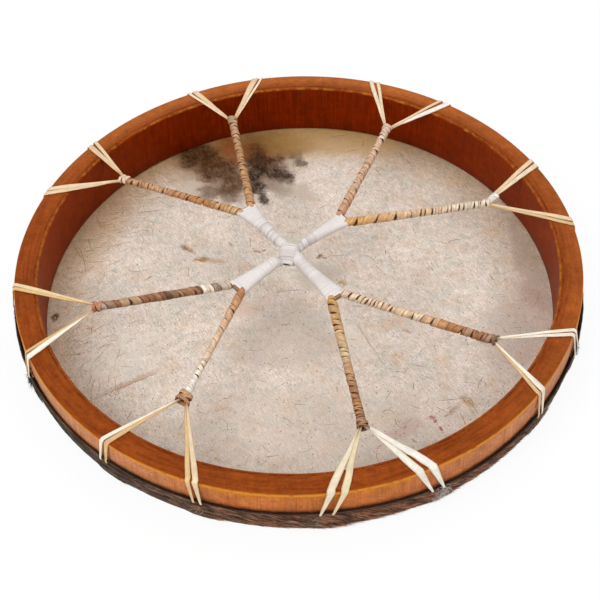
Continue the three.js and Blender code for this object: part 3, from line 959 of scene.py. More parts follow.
def wind(
    surface: Callable[[float, float, float], Vector], turns: Sequence[Turn], steps: int, lift: float,
) -> list[Station]:
    """Wind a strip round a form, so that each turn passes to the next at the underside.

    Args:
        surface: gives a place from the distance along the form, the angle round it and the stand-off.
        turns: the turns, in order.
        steps: stations of one turn.
        lift: how far one edge of the strip lies over the turn beside it.

    Returns:
        Stations along the strip.
    """
    stations = []
    for i in range(len(turns) * steps + 1):
        number = min(i // steps, len(turns) - 1)
        part = i / steps - number
        own = turns[number]
        beside = turns[min(max(number + (1 if part > 0.5 else -1), 0), len(turns) - 1)]
        share = 0.5 - 0.5 * smooth(0, PASS_OVER, min(part, 1 - part))
        width, slant, stand = (
            mine + (other - mine) * share
            for mine, other in zip(
                (own.width, own.slant, own.stand), (beside.width, beside.slant, beside.stand)))
        angle = tau * part - pi / 2
        distance = own.start + own.pitch * part + slant * cos(angle)
        ahead, behind = (surface(distance + step, angle, stand) for step in (PROBE, -PROBE))
        tone = blend(own.tone, beside.tone, share)
        middle, across = (ahead + behind) / 2, (ahead - behind).normalized()
        stations.append(Station(middle, across, width, tone, lift=lift))
    return stations


def closed_object(name: str, mesh: Mesh) -> Object:
    """Link a closed mesh to the scene, with smooth faces that look outward.

    Args:
        name: the object's name.
        mesh: the mesh.

    Returns:
        The new object.
    """
    skin = bmesh.new()
    skin.from_mesh(mesh)
    bmesh.ops.recalc_face_normals(skin, faces=skin.faces)
    skin.to_mesh(mesh)
    skin.free()
    mesh.shade_smooth()
    made = bpy.data.objects.new(name, mesh)
    bpy.context.scene.collection.objects.link(made)
    return made


def hand_over(piece: Object, finish: Finish, replaced: Iterable[str] = ()) -> Object:
    """Give a piece its finish, and fix it to the drum's one body.

    Args:
        piece: the piece.
        finish: its surface.
        replaced: the solids that it stands for.

    Returns:
        The piece.
    """
    piece.data.materials.clear()
    piece.data.materials.append(finish.material())
    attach(piece, "root")
    if replaced:
        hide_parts(*replaced)
    return piece


# Radius below which a point of a profile counts as one on the axis.
ON_AXIS = 0.001 * MM


def turned_mesh(name: str, profile: Sequence[Span], segments: int) -> Mesh:
    """Turn a closed profile round the drum's axis.

    Args:
        name: the mesh's name.
        profile: radius and height of each point; points on the axis become one point.
        segments: steps of a full turn.

    Returns:
        The closed mesh.
    """
    points: list[Vector] = []
    rows: list[list[int]] = []
    for radius, height in profile:
        first = len(points)
        if radius < ON_AXIS:
            points.append(Vector((0, 0, height)))
            rows.append([first] * segments)
        else:
            points.extend(around(tau * k / segments, radius, height) for k in range(segments))
            rows.append(list(range(first, first + segments)))
    faces = []
    for row, following in zip(rows, rows[1:] + rows[:1]):
        for k in range(segments):
            after = (k + 1) % segments
            corners = list(dict.fromkeys((row[k], row[after], following[after], following[k])))
            if len(corners) > 2:
                faces.append(corners)
    mesh = bpy.data.meshes.new(name)
    mesh.from_pydata(points, [], faces)
    return mesh


def arc(
    centre: Span, half_width: float, half_height: float, start: float, stop: float, steps: int,
) -> list[Span]:
    """Give the points of an elliptic arc in a profile.

    Args:
        centre: radius and height of the arc's middle.
        half_width: half axis along the radius.
        half_height: half axis along the height.
        start: first angle, in degrees.
        stop: last angle, in degrees.
        steps: parts that the arc is divided into.

    Returns:
        Radius and height of each point.
    """
    points = []
    for i in range(steps + 1):
        angle = radians(start + (stop - start) * i / steps)
        points.append((centre[0] + half_width * cos(angle), centre[1] + half_height * sin(angle)))
    return points


@dataclass
class Hoop:
    """Bent-wood ring that carries the head."""

    wall: float = 20.5 * MM
    edge_round: float = 2 * MM
    foot_bevel: float = 1.5 * MM
    bearing_width: float = 18 * MM
    bearing_height: float = 22 * MM
    unevenness: float = 0.22 * MM
    # Waves left by bending and sanding: how many to the metre, and the height of each as a share.
    waves: tuple[Span, ...] = ((14, 1.0), (45, 0.5))
    # Places of the points along the straight stretches of the section.
    thirds: Span = (0.33, 0.66)
    edge_steps: int = 6
    bearing_steps: int = 14
    segments: int = 360
    piece: Object | None = None

    def build(self) -> None:
        """Turn the ring's section and make it slightly uneven, as bent and sanded by hand."""
        low, high = solid_box("hoop")
        outside, foot, top = high.x, low.z, high.z
        inside = outside - self.wall
        eased = self.edge_round
        bearing = (outside - self.bearing_width, foot + self.bearing_height)
        profile = [
            (inside + self.foot_bevel, foot),
            *arc(bearing, self.bearing_width, self.bearing_height, 270, 360, self.bearing_steps),
            *[(outside, bearing[1] + share * (top - eased - bearing[1])) for share in self.thirds],
            *arc((outside - eased, top - eased), eased, eased, 0, 90, self.edge_steps),
            *[(outside - eased - share * (self.wall - 2 * eased), top) for share in self.thirds],
            *arc((inside + eased, top - eased), eased, eased, 90, 180, self.edge_steps),
            *[(inside, top - eased - share * (top - foot - 2 * eased)) for share in self.thirds],
            (inside, foot + self.foot_bevel),
        ]
        mesh = turned_mesh("bent_hoop", profile, self.segments)
        for point in mesh.vertices:
            wave = sum(share * noise.noise(point.co * pace) for pace, share in self.waves)
            ring = Vector((point.co.x, point.co.y, 0))
            across = (ring.length - bearing[0]) / self.bearing_width
            drop = (bearing[1] - point.co.z) / self.bearing_height
            if across > 0 and drop > 0:
                fuller = swell(atan2(ring.y, ring.x), across, drop) - 1
                point.co += ring.normalized() * (fuller * across * self.bearing_width)
                point.co -= UP * (fuller * drop * self.bearing_height)
            point.co -= ring.normalized() * self.unevenness * abs(wave)
        self.piece = closed_object("bent_hoop", mesh)

    def dress(self) -> list[Object]:
        """Varnish the ring."""
        return [hand_over(self.piece, HARDWOOD, ["hoop"])]


@dataclass(frozen=True)
class Tail:
    """One loop of lace from a knot over the rim to two holes in the fold.

    Its direction at the rim and the drift from there to its holes are in degrees; its two widths at the rim,
    the gap between its strands and the pitch of its holes are in millimetres. It widens toward the rim with
    the power taper. The clockwise strand comes first.
    """

    rim: float
    drift: float
    tones: tuple[str, str]
    widths: Span
    gap: float = 0.9
    pitch: float = 10.0
    taper: float = 0.9

    def strand(self, side: int) -> tuple[float, Colour]:
        """Give the width at the rim and the colour of the strand at one side."""
        number = (side + 1) // 2
        return self.widths[number] * MM, linear(self.tones[number])


@dataclass(frozen=True)
class Winding:
    """Looks of a spoke's wound strip, from the grip to the knot.

    The covers are shares of the pitch that the strip covers. Scatter is how far a turn's colour strays from
    the row of tones, and gaps is the share of the turns that leave a gap. The collar is the colour of a
    short winding round the start of the second tail. Radii and slant are in millimetres.
    """

    turns: int
    tones: tuple[str, ...]
    pitches: tuple[float, ...]
    covers: tuple[float, ...]
    radii: tuple[float, ...]
    knot: str
    scatter: float = 0.35
    gaps: float = 0.5
    knot_size: float = 1.0
    collar: str | None = None
    slant: float = 0.0


@dataclass(frozen=True)
class SpokePlan:
    """A spoke's two tails and its winding."""

    tails: tuple[Tail, Tail]
    winding: Winding


SPOKES = (
    SpokePlan(
        (
            Tail(6.3, -1.2, ("d0ae7e", "dcc19c"), (4.5, 6), taper=1.4),
            Tail(25.1, 1.1, ("dfcbae", "dcc19c"), (6, 5.5), 1.4),
        ),
        Winding(26, ("c48e4c", "cfa26a", "cfa67a", "d3b290", "dcc9b2", "dfcdb8"),
            (2.2, 1.1, 1, 0.9, 0.8, 0.8), (1.06, 0.98, 0.86, 0.84, 0.8, 0.76),
            (4.3, 4.0, 3.8, 3.6, 3.5, 3.4), "dac8b2", 0.3, 0.45, 0.9, "e6ddd2"),
    ),
    SpokePlan(
        (
            Tail(52.8, -0.9, ("e8e0d6", "dec09a"), (7, 3.6), 2.6),
            Tail(70.1, 1, ("dfc7a6", "e2cfb2"), (4, 5), 2.4),
        ),
        Winding(22, ("b98462", "c79c7c", "c99f82", "cfab8e", "dcc6b0"), (1.7, 1.2, 1, 0.9, 0.7),
            (0.93, 0.9, 0.88, 0.84, 0.78), (4.1, 3.9, 3.6, 3.5, 3.7), "cdae92", 0.4, 0.12),
    ),
    SpokePlan(
        (
            Tail(97.6, -1, ("e6d6bc", "dab996"), (2.8, 7.5), 1.4),
            Tail(113.5, 0.8, ("dabc98", "e2cdb0"), (6.5, 3.4), 1.2),
        ),
        Winding(26, ("b98a5c", "bd8a5a", "aa7a50", "b5855e", "b58f70"), (0.9, 1, 1.1, 1, 0.9),
            (0.82, 0.86, 0.88, 0.88, 0.86), (4.2, 3.8, 3.6, 3.7, 4.0), "a1785a", 0.6, 0.2),
    ),
    SpokePlan(
        (
            Tail(141.1, -1.2, ("dcc19c", "d9bc95"), (4.2, 6.2), 2.0),
            Tail(157.9, 1, ("dfc7a3", "dcc19c"), (6, 6), 0.2),
        ),
        Winding(29, ("c09a6c", "b98f60", "a86c32", "ad7440", "bf9674", "ba8864", "b17c54"),
            (0.9, 1, 1.2, 1, 0.9, 0.9, 0.9), (0.86, 0.87, 0.88, 0.88, 0.86, 0.86, 0.84),
            (3.8, 3.8, 3.6, 3.4, 3.2, 3.1, 3.3), "d6b9a0", 0.3, 0.18),
    ),
    SpokePlan(
        (
            Tail(186, -0.6, ("dcc398", "d0aa74"), (4.6, 4.2), 0.2),
            Tail(204.1, 0.8, ("cda36c", "e6decf"), (3.2, 7), 0.4, 5, 1.4),
        ),
        Winding(22, ("6a3c20", "e2d4c0", "64381c", "e4d6c4", "e0cdb6", "5a3018", "b8845c", "4e2a14",
            "ae8258", "54301a", "8e5a34", "8a5430", "7e4c2a", "cdb48c", "8a5632", "94603a",
            "7c4a28", "e4d8c6"),
            (0.8, 0.9, 1, 1, 1.2, 1.3, 1), (0.9, 0.92, 0.93, 0.93, 0.94, 0.95, 0.95),
            (3.6, 3.7, 3.8, 3.8, 3.8, 3.6, 3.4), "a8603a", 0.1, 0.5, 1.1, slant=3.6),
    ),
    SpokePlan(
        (
            Tail(230.9, -0.2, ("e6dcc8", "d0aa76"), (4.4, 5), 0.5, 6, 1.4),
            Tail(249.3, 1.1, ("d3ae7c", "dcc4a0"), (5, 5.8), 0.8, 6, 1.4),
        ),
        Winding(19, ("a86c40", "bd8a60", "cba282", "d4b294", "d6bda2", "e6dccf", "ebe4da"),
            (1.6, 1.5, 1.3, 1, 0.8, 0.7), (0.98, 0.97, 0.96, 0.95, 0.9, 0.72),
            (4.2, 3.4, 3.0, 3.0, 3.0, 3.4), "ab764c", 0.2, 0.6, 1.4),
    ),
    SpokePlan(
        (
            Tail(275.5, -2.2, ("dccfb4", "d9c8a2"), (7.6, 7), 3.6),
            Tail(291.7, 2.2, ("e2dbcc", "e4ded2"), (8, 8.6), 3.0),
        ),
        Winding(27, ("c29254", "c0925e", "c4996a", "c8ab80", "cab08c", "b68a68", "9a6640", "aa764c",
            "7c4c30"),
            (1.2, 1.1, 1, 0.9, 0.9, 0.7, 0.7), (0.86, 0.8, 0.8, 0.84, 0.86, 0.74, 0.72),
            (4.3, 4.2, 4.0, 3.8, 3.7, 3.7, 3.8), "8c5630", 0.25, 0.8, 1.05),
    ),
    SpokePlan(
        (
            Tail(319.8, -0.6, ("cfae82", "e4dac9"), (4, 6.2), 0.4, 5, 1.7),
            Tail(335.8, 0.6, ("e2d8c6", "e4dccb"), (4.6, 4.2), 0.8, taper=1.6),
        ),
        Winding(27, ("dcc6ae", "d8bc9c", "d6b898", "d9bf9e", "b3763f", "9c6338", "8a5636"),
            (1.1, 0.9, 0.8, 1, 1.2, 0.8, 0.7), (0.82, 0.78, 0.8, 0.88, 0.95, 0.92, 0.9),
            (3.9, 3.8, 3.7, 3.7, 4.1, 3.9, 3.9), "6f4529", 0.25, 0.75),
    ),
)


@dataclass(frozen=True)
class LaceSizes:
    """Sizes of the lace, and how it passes from a knot over the hoop and through the fold."""

    thickness: float = 1.0 * MM
    at_knot: float = 2.0 * MM
    at_hole: float = 1.9 * MM
    clear: float = 0.3 * MM
    hole_below_edge: float = 2.0 * MM
    stitch_height: float = 2.4 * MM
    stitch_overlap: float = 0.006
    # Where a tail starts: beyond the spoke's end, beside its axis, one strand above the other.
    past_tip: float = 0.3 * MM
    beside_axis: float = 1.3 * MM
    stagger: float = 0.4 * MM
    level_before: float = 3 * MM
    # Roll of a strand at the knot, in radians, and spacing of the strands there as a share of their width.
    rolls: Span = (0.9, 1.35)
    pressed: float = 0.62
    bent_width: float = 0.9
    off_fold: float = 0.5 * MM
    steps: int = 14
    stitch_steps: int = 6
    wall_shares: tuple[float, ...] = (0.15, 0.35, 0.55, 0.75, 0.9, 1.0)

    @property
    def lie(self) -> float:
        """Height of the lace's middle above what it lies on."""
        return self.clear + self.thickness / 2

    @property
    def rim_bend(self) -> float:
        """Radius of the lace's bend over the hoop's rim."""
        return Hoop.edge_round + self.lie

    @property
    def rim_edge(self) -> Span:
        """Radius and height of the middle of that bend."""
        hoop = solid_box("hoop")[1]
        return hoop.x - Hoop.edge_round, hoop.z - Hoop.edge_round


LACE_SIZES = LaceSizes()


def hole_angle(tail: Tail, side: int) -> float:
    """Give the direction of one of a tail's two holes, in radians."""
    radius = solid_box("drumhead")[1].x
    return radians(tail.rim + tail.drift) + side * tail.pitch * MM / 2 / radius


@cache
def hole_angles() -> tuple[float, ...]:
    """Give the directions of all lace holes, in radians."""
    return tuple(hole_angle(tail, side) for plan in SPOKES for tail in plan.tails for side in (-1, 1))


# How far the fold's cut edge lies above its usual height, in millimetres, and how much squarer than an
# ellipse the rounded edge under the skin is, both at every 30 degrees from the right.
EDGE_RISES = (-3, -2, 0, 0, 0, 1.5, 3, 5, 4, 2.2, -1.5, 1, -3)
EDGE_FULLNESS = (0, 0, 0.2, 0.2, 0.2, 0, 0, 0, 0.15, 0.6, 0.5, 0.15, 0)


def swell(angle: float, across: float, drop: float) -> float:
    """Tell how much fuller than an ellipse the rounded edge is at a place on it.

    Args:
        angle: direction round the drum, in radians.
        across: place outward from the bend's middle, as a share of its half width.
        drop: place below the bend's middle, as a share of its half height.

    Returns:
        Factor on both shares.
    """
    power = 2 + between(EDGE_FULLNESS, angle / tau % 1)
    return hypot(across, drop) / (across ** power + drop ** power) ** (1 / power)


def fold_edge(angle: float) -> float:
    """Give the height of the fold's cut edge.

    Args:
        angle: direction round the drum, in radians.

    Returns:
        The height.
    """
    before, after, part = along_stops(EDGE_RISES, angle / tau % 1)
    return solid_box("drumhead")[1].z + (before + (after - before) * smooth(0, 1, part)) * MM


def core_ends(node: str, near: Vector) -> tuple[Vector, Vector]:
    """Find the middles of a straight core's two end faces.

    Args:
        node: the core's solid.
        near: a point beyond its first end.

    Returns:
        The end nearer to that point, and the other end.
    """
    points = [v.co.copy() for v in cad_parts[node].data.vertices]
    first = min(points, key=lambda p: (p - near).length)
    last = max(points, key=lambda p: (p - first).length)
    middle = (first + last) / 2
    axis = (last - first).normalized()
    ends = [[p for p in points if sign * (p - middle).dot(axis) > 0] for sign in (-1, 1)]
    start, stop = (sum(end, Vector()) / len(end) for end in ends)
    return start, stop


@dataclass(frozen=True)
class Tuft:
    """A tuft of hair at a lace hole.

    Its turn is in degrees, its level runs from 0 low on the bend to 1 at the cut edge, and its tips stand
    off by a share of their length.
    """

    turn: float
    level: float
    count: int
    colour: str
    stand: float


TUFTS = (
    Tuft(187.2, 0.8, 60, "241d19", 0.5),
    Tuft(204.6, 0.78, 90, "2b261f", 0.6),
    Tuft(338.6, 0.8, 45, "33271f", 0.55),
    Tuft(295.2, 0.84, 80, "f6f2ec", 0.3),
    Tuft(294.6, 0.62, 90, "ece7e0", 0.4),
    Tuft(250.4, 0.66, 60, "a88f78", 0.15),
    Tuft(272.6, 0.7, 40, "c3b19c", 0.1),
    Tuft(316.8, 0.62, 60, "b79f8c", 0.15),
)


@dataclass(frozen=True)
class Curl:
    """A long hair dried onto the skin, in millimetres and degrees; its bend is in radians for each metre."""

    x: float
    y: float
    turn: float
    bend: float
    length: float


CURLS = (
    Curl(66, -137, 60, -190, 14),
    Curl(77, -141, -100, 90, 13),
    Curl(132, -124, 20, -130, 20),
    Curl(-22, 4, 12, -12, 36),
    Curl(-160, 40, -20, 40, 22),
    Curl(-214, 78, -70, 14, 30),
    Curl(-209, 75, -66, -9, 38),
    Curl(-195, 115, -69, -3, 22),
    Curl(-200, 85, -80, 12, 19),
    Curl(-154, 117, -6, 18, 22),
    Curl(52, 190, 35, -60, 15),
    Curl(107, 181, -35, -40, 21),
    Curl(38, 215, 10, 0, 21),
    Curl(175, 46, -32, 0, 8),
    Curl(114, -126, 4, 0, 24),
    Curl(138, -124, -58, -10, 21),
)

# Tones of the coat round the drum, from the right counter-clockwise by the back.
COAT_TONES = (
    "75604f", "5e4b40", "5e4b40", "5e4b40", "52463e", "433b35", "484039", "62564d", "a07054", "ac7454",
    "866a5c", "806a5c",
)


@dataclass
class Drumhead:
    """Rawhide skin with a hair-on fold, the lace holes in it, and the stray hairs on its inside."""

    thickness: float = 1.2 * MM
    segments: int = 360
    bend_steps: int = 12
    # How far the fold is drawn in, the distances from a hole over which that grows, and the height of the
    # flare at the cut edge.
    drawn_in: float = 1.6 * MM
    hole_reach: Span = (3 * MM, 15 * MM)
    flare: float = 5 * MM
    # Waves of the cut edge: their pace round the drum, and the height of each as a share.
    edge_wave: float = 0.5 * MM
    edge_waves: tuple[Span, ...] = ((9, 1.0), (31, 0.6))
    slot_height: float = 1.6 * MM
    slot_width: float = 4.0 * MM
    slot_reaches: tuple[float, ...] = (-4 * MM, 0.0, 3 * MM)
    # Real hair is about 0.1 mm thick; it is drawn 0.3 mm thick so that it shows.
    hairs: int = 16600
    hair_width: float = 0.3 * MM
    hair_length: float = 12 * MM
    # How far round the bend the hair grows, and how far below the cut edge it ends.
    hair_low_turn: float = radians(62)
    hair_below_edge: float = 0.6 * MM
    coat_dark: str = "120c09"
    coat_pale: str = "a8988a"
    tuft_dark: str = "1d1613"
    # Direction of the fluffiest hair.
    fluff_turn: float = radians(290)
    # Near-black hairs on the cut edge, which stand in for the shadow line against the wood: their number and
    # tones, the middle and spread of their directions, in degrees, and how far below the edge they lie.
    fringe_hairs: int = 2600
    fringe_shadow_tone: str = "0f0a08"
    fringe_brown: str = "5a3a28"
    fringe_spread: Span = (285, 34)
    fringe_drop: float = 0.4 * MM
    # Hairs inside: over the whole skin but for one clean patch, and long ones by the left edge.
    stray_hairs: int = 380
    stray_radius: float = 222 * MM
    stray_rise: float = 0.05 * MM
    stray_steps: int = 6
    stray_tan: str = "ab8c6a"
    stray_brown: str = "745539"
    stray_pale: str = "ece3d8"
    patch_middle: Span = (-50 * MM, 175 * MM)
    patch_half: Span = (80 * MM, 60 * MM)
    edge_hairs: int = 320
    curl_width: float = 0.4 * MM
    seed: int = 11
    skin: Object | None = None
    hair: Object | None = None
    strays: Object | None = None

    @property
    def fold(self) -> Span:
        """Outer radius and top of the fold."""
        high = solid_box("drumhead")[1]
        return high.x, high.z

    @property
    def bend(self) -> Span:
        """Radius and height of the middle of the bend round the hoop."""
        hoop_low, hoop_high = solid_box("hoop")
        return hoop_high.x - Hoop.bearing_width, hoop_low.z + Hoop.bearing_height

    def snug(self, angle: float, height: float) -> float:
        """Tell how far the fold is drawn in toward the hoop, which is least at the holes and its cut edge.

        Args:
            angle: direction round the drum, in radians.
            height: height of the place.

        Returns:
            The distance from the fold's widest place.
        """
        apart = min(abs(remainder(angle - hole, tau)) for hole in hole_angles())
        flared = smooth(fold_edge(angle) - self.flare, fold_edge(angle), height)
        return self.drawn_in * smooth(*self.hole_reach, apart * self.fold[0]) * (1 - flared)

    def build(self) -> None:
        """Make the skin, its holes, the hair on its fold and the stray hairs inside."""
        self.skin = self.build_skin()
        self.hair = self.build_hair()
        self.strays = self.build_strays()

    def build_skin(self) -> Object:
        """Turn the dish, let its cut edge waver and cut the lace holes.

        Returns:
            The skin.
        """
        radius, top = self.fold
        bend = self.bend
        flat = [bend[0] * share for share in (0.0, 0.12, 0.3, 0.5, 0.7, 0.85, 0.94)]
        outer = radius - bend[0]
        inner = outer - self.thickness
        upright = [bend[1] + share * (top - bend[1]) for share in (0.25, 0.5, 0.72, 0.88, 0.97)]
        profile = [
            *[(r, 0.0) for r in flat],
            *arc(bend, outer, bend[1], 270, 360, self.bend_steps),
            *[(radius, z) for z in upright],
            *[(radius - share * self.thickness, top) for share in (0.25, 0.75)],
            *[(radius - self.thickness, z) for z in reversed(upright)],
            *arc(bend, inner, bend[1] - self.thickness, 360, 270, self.bend_steps),
            *[(r, self.thickness) for r in reversed(flat)],
        ]
        mesh = turned_mesh("hair_on_skin", profile, self.segments)
        for point in mesh.vertices:
            ring = Vector((point.co.x, point.co.y, 0))
            across, drop = (ring.length - bend[0]) / outer, (bend[1] - point.co.z) / bend[1]
            if across <= 0:
                continue
            angle = atan2(ring.y, ring.x)
            ring.normalize()
            if drop > 0:
                fuller = swell(angle, across, drop)
                across, drop = across * fuller, drop * fuller
            height = bend[1] * (1 - drop)
            if drop < 0:
                wave = sum(share * noise.noise(ring * pace) for pace, share in self.edge_waves)
                rise = fold_edge(angle) - self.edge_wave * abs(wave) - bend[1]
                height = bend[1] + (height - bend[1]) * rise / (top - bend[1])
            drawn = self.snug(angle, height)
            point.co = ring * (bend[0] + across * (outer - drawn)) + UP * height
        skin = closed_object("hair_on_skin", mesh)
        self.cut_holes(skin)
        return skin

    def cut_holes(self, skin: Object) -> None:
        """Cut the two holes of every lace tail through the fold.

        Args:
            skin: the skin, which is changed.
        """
        punch = Sketch()
        plain = linear("ffffff")
        for angle in hole_angles():
            height = fold_edge(angle) - LACE_SIZES.hole_below_edge
            stations = [
                Station(around(angle, self.fold[0] + reach, height), sideways(angle), self.slot_width, plain)
                for reach in self.slot_reaches]
            punch.strip(stations, self.slot_height)
        cutter = punch.piece("hole_punch")
        cut = skin.modifiers.new("lace_holes", "BOOLEAN")
        cut.operation = "DIFFERENCE"
        cut.solver = "EXACT"
        cut.object = cutter
        evaluated = skin.evaluated_get(bpy.context.evaluated_depsgraph_get())
        mesh = bpy.data.meshes.new_from_object(evaluated)
        skin.modifiers.clear()
        skin.data = mesh
        cuts = bmesh.new()
        cuts.from_mesh(mesh)
        many_sided = [face for face in cuts.faces if len(face.verts) > 4]
        bmesh.ops.triangulate(cuts, faces=many_sided)
        cuts.to_mesh(mesh)
        cuts.free()
        mesh.shade_smooth()
        bpy.data.objects.remove(cutter)

    def surface(self, angle: float, share: float) -> tuple[Vector, Vector, Vector]:
        """Find a place on the outside of the fold.

        Args:
            angle: direction round the drum, in radians.
            share: 0 low on the bend, 1 at the cut edge.

        Returns:
            The place, the direction away from the skin and the direction down along it.
        """
        bend_radius, bend_height = self.bend
        half_width = self.fold[0] - bend_radius
        bend_length = self.hair_low_turn * (half_width + bend_height) / 2
        upright = fold_edge(angle) - self.hair_below_edge - bend_height
        way = share * (bend_length + upright) - bend_length
        ring = heading(angle)
        if way >= 0:
            height = bend_height + way
            return ring * (self.fold[0] - self.snug(angle, height)) + UP * height, ring, -UP
        turn = -way / bend_length * self.hair_low_turn
        across, drop = cos(turn), sin(turn)
        fuller = swell(angle, across, drop)
        height = bend_height * (1 - drop * fuller)
        half_width -= self.snug(angle, height)
        place = ring * (bend_radius + half_width * across * fuller) + UP * height
        away = (ring * (across / half_width) - UP * (drop / bend_height)).normalized()
        down = (-ring * (half_width * drop) - UP * (bend_height * across)).normalized()
        return place, away, down

    def build_hair(self) -> Object:
        """Grow combed hair on the fold, fluffier at the front right, and tufts at some of the holes.

        Returns:
            The coat.
        """
        chance = Random(self.seed)
        coat = Sketch()
        dark, pale, tuft_dark = (linear(code) for code in (self.coat_dark, self.coat_pale, self.tuft_dark))
        for _ in range(self.hairs):
            angle = chance.uniform(0, tau)
            level = chance.random() ** 0.9
            place, away, down = self.surface(angle, level)
            ring = heading(angle)
            fluff_starts, fluff_full = 0.8, 0.97
            fluff = smooth(fluff_starts, fluff_full, ring.dot(heading(self.fluff_turn)))
            clump = noise.noise(Vector((angle * 18, level * 12, 0)))
            lock = noise.noise(Vector((angle * 40, level * 26, 5)))
            shade = 0.79 + 1.8 * clump + 1.4 * lock + chance.uniform(-0.3, 0.4)
            tone = blend(dark, tone_between(COAT_TONES, angle / tau), min(max(shade, 0.03), 1.8))
            if chance.random() < 0.1:
                tone = blend(tone, pale, chance.uniform(0.2, 0.7))
            lean = radians(4 + 14 * noise.noise(ring * 7) + chance.gauss(0, 7) + 20 * fluff)
            comb = sideways(angle) * cos(lean) + down * sin(lean)
            length = self.hair_length * chance.uniform(0.5, 1.1)
            lift = chance.uniform(0.0, 0.03) + 0.16 * fluff * chance.random()
            self.add_hair(coat, place, comb, away, length, lift, tone)
        for tuft in TUFTS:
            for _ in range(tuft.count):
                angle = radians(tuft.turn + chance.gauss(0, 0.7))
                place, away, down = self.surface(angle, min(tuft.level + chance.gauss(0, 0.1), 1.0))
                comb = sideways(angle) * chance.uniform(-0.7, 0.7) + down * chance.uniform(0.1, 0.9)
                tone = blend(linear(tuft.colour), tuft_dark, chance.random() ** 2 * 0.9)
                length = self.hair_length * chance.uniform(0.35, 0.7)
                lift = tuft.stand * chance.uniform(0.4, 1)
                self.add_hair(coat, place, comb.normalized(), away, length, lift, tone)
        self.add_shadow_fringe(coat, chance)
        return coat.piece("fold_hair")

    def add_shadow_fringe(self, coat: Sketch, chance: Random) -> None:
        """Lay near-black hairs along the fold's cut edge as a painted shadow line against the wood, densest
        at the front.

        Args:
            coat: the coat that they join.
            chance: source of unevenness.
        """
        dark, brown = linear(self.fringe_shadow_tone), linear(self.fringe_brown)
        first, last = 150, 390
        for _ in range(self.fringe_hairs):
            angle = radians(min(max(chance.gauss(*self.fringe_spread), first), last))
            lean = chance.uniform(-0.02, 0.2)
            comb = sideways(angle) * chance.choice((-1, 1)) * cos(lean) + UP * sin(lean)
            radius = self.fold[0] - chance.uniform(0.3, 2.2) * MM
            place = around(angle, radius, fold_edge(angle) - self.fringe_drop)
            tone = blend(dark, brown, chance.random() ** 2)
            length = self.hair_length * chance.uniform(0.4, 0.8)
            self.add_hair(coat, place, comb, heading(angle), length, 0.0, tone)

    def add_hair(
        self, coat: Sketch, place: Vector, comb: Vector, away: Vector, length: float, lift: float,
        tone: Colour,
    ) -> None:
        """Add one tapered hair to a coat.

        Args:
            coat: the coat that it joins.
            place: where it leaves the skin.
            comb: the direction that it lies in.
            away: the direction away from the skin.
            length: its length.
            lift: how far its tip stands off, as a share of its length.
            tone: its colour.
        """
        side = comb.cross(away).normalized()
        rings, lies = [], []
        # Share of the way and of the full width, at each ring of the hair.
        for share, width in ((0.0, 0.8), (0.5, 1.0), (1.0, 0.0)):
            rise = self.hair_width * 0.4 + lift * length * share ** 1.6
            middle = place + comb * (length * share) + away * rise
            middle.z = max(middle.z, self.hair_width)
            half = self.hair_width / 2 * width
            rings.append([middle + side * half, middle + away * half, middle - side * half])
            lies.append([(length * share, 0.0, 0.0)] * 3)
        *rings, tip = rings
        coat.loft(rings, [tone] * len(rings), lies, [0.0] * 3, tip[0])

    def build_strays(self) -> Object:
        """Scatter fine curved hairs that dried onto the flesh side of the skin.

        Returns:
            The stray hairs.
        """
        chance = Random(self.seed + 1)
        sheet = Sketch()
        rise = self.thickness + self.stray_rise
        tan, brown, pale = (linear(code) for code in (self.stray_tan, self.stray_brown, self.stray_pale))
        for _ in range(self.stray_hairs):
            turn = chance.uniform(0, tau)
            at = around(turn, self.stray_radius * sqrt(chance.uniform(0.02, 1)), rise)
            off_patch = hypot(*(
                (place - middle) / half
                for place, middle, half in zip(at, self.patch_middle, self.patch_half)))
            if off_patch < 1:
                continue
            tone = blend(brown, tan, chance.random())
            width = chance.uniform(0.2, 0.42) * MM
            turn, bend = radians(chance.gauss(30, 60)), chance.gauss(0, 45)
            self.add_stray(sheet, at, turn, bend, chance.uniform(4, 15) * MM, width, tone)
        for _ in range(self.edge_hairs):
            turn = radians(chance.uniform(128, 215))
            at = around(turn, chance.uniform(185, 224) * MM, rise)
            tone = pale if chance.random() < 0.4 else blend(brown, tan, chance.uniform(0.2, 1))
            width = chance.uniform(0.16, 0.34) * MM
            turn, bend = turn + radians(180 + chance.gauss(35, 22)), chance.gauss(0, 25)
            self.add_stray(sheet, at, turn, bend, chance.uniform(8, 20) * MM, width, tone)
        for curl in CURLS:
            at = Vector((curl.x * MM, curl.y * MM, rise))
            turn, length = radians(curl.turn), curl.length * MM
            self.add_stray(sheet, at, turn, curl.bend, length, self.curl_width, brown)
        return sheet.piece("stray_hairs")

    def add_stray(
        self, sheet: Sketch, at: Vector, turn: float, bend: float, length: float, width: float,
        tone: Colour,
    ) -> None:
        """Add one hair that lies on the skin.

        Args:
            sheet: the sketch that it joins.
            at: where it starts.
            turn: its first direction, in radians.
            bend: how fast it turns, in radians for each metre.
            length: its length.
            width: its width.
            tone: its colour.
        """
        steps = self.stray_steps
        rings, lies = [], []
        place = at.copy()
        for i in range(steps + 1):
            angle = turn + bend * length * i / steps
            half = width / 2 * (1 - abs(2 * i / steps - 1) ** 3 * 0.85)
            side = sideways(angle)
            rings.append([place + side * half, place + UP * (half * 0.6), place - side * half])
            lies.append([(length * i / steps, 0.0, 0.0)] * 3)
            place = place + heading(angle) * (length / steps)
        sheet.loft(rings, [tone] * len(rings), lies, [0.0] * 3)

    def dress(self) -> list[Object]:
        """Returns:
            The skin and its two coats of hair.
        """
        hand_over(self.skin, RAWHIDE, ["drumhead"])
        hand_over(self.hair, HAIR)
        hand_over(self.strays, HAIR)
        return [self.skin, self.hair, self.strays]


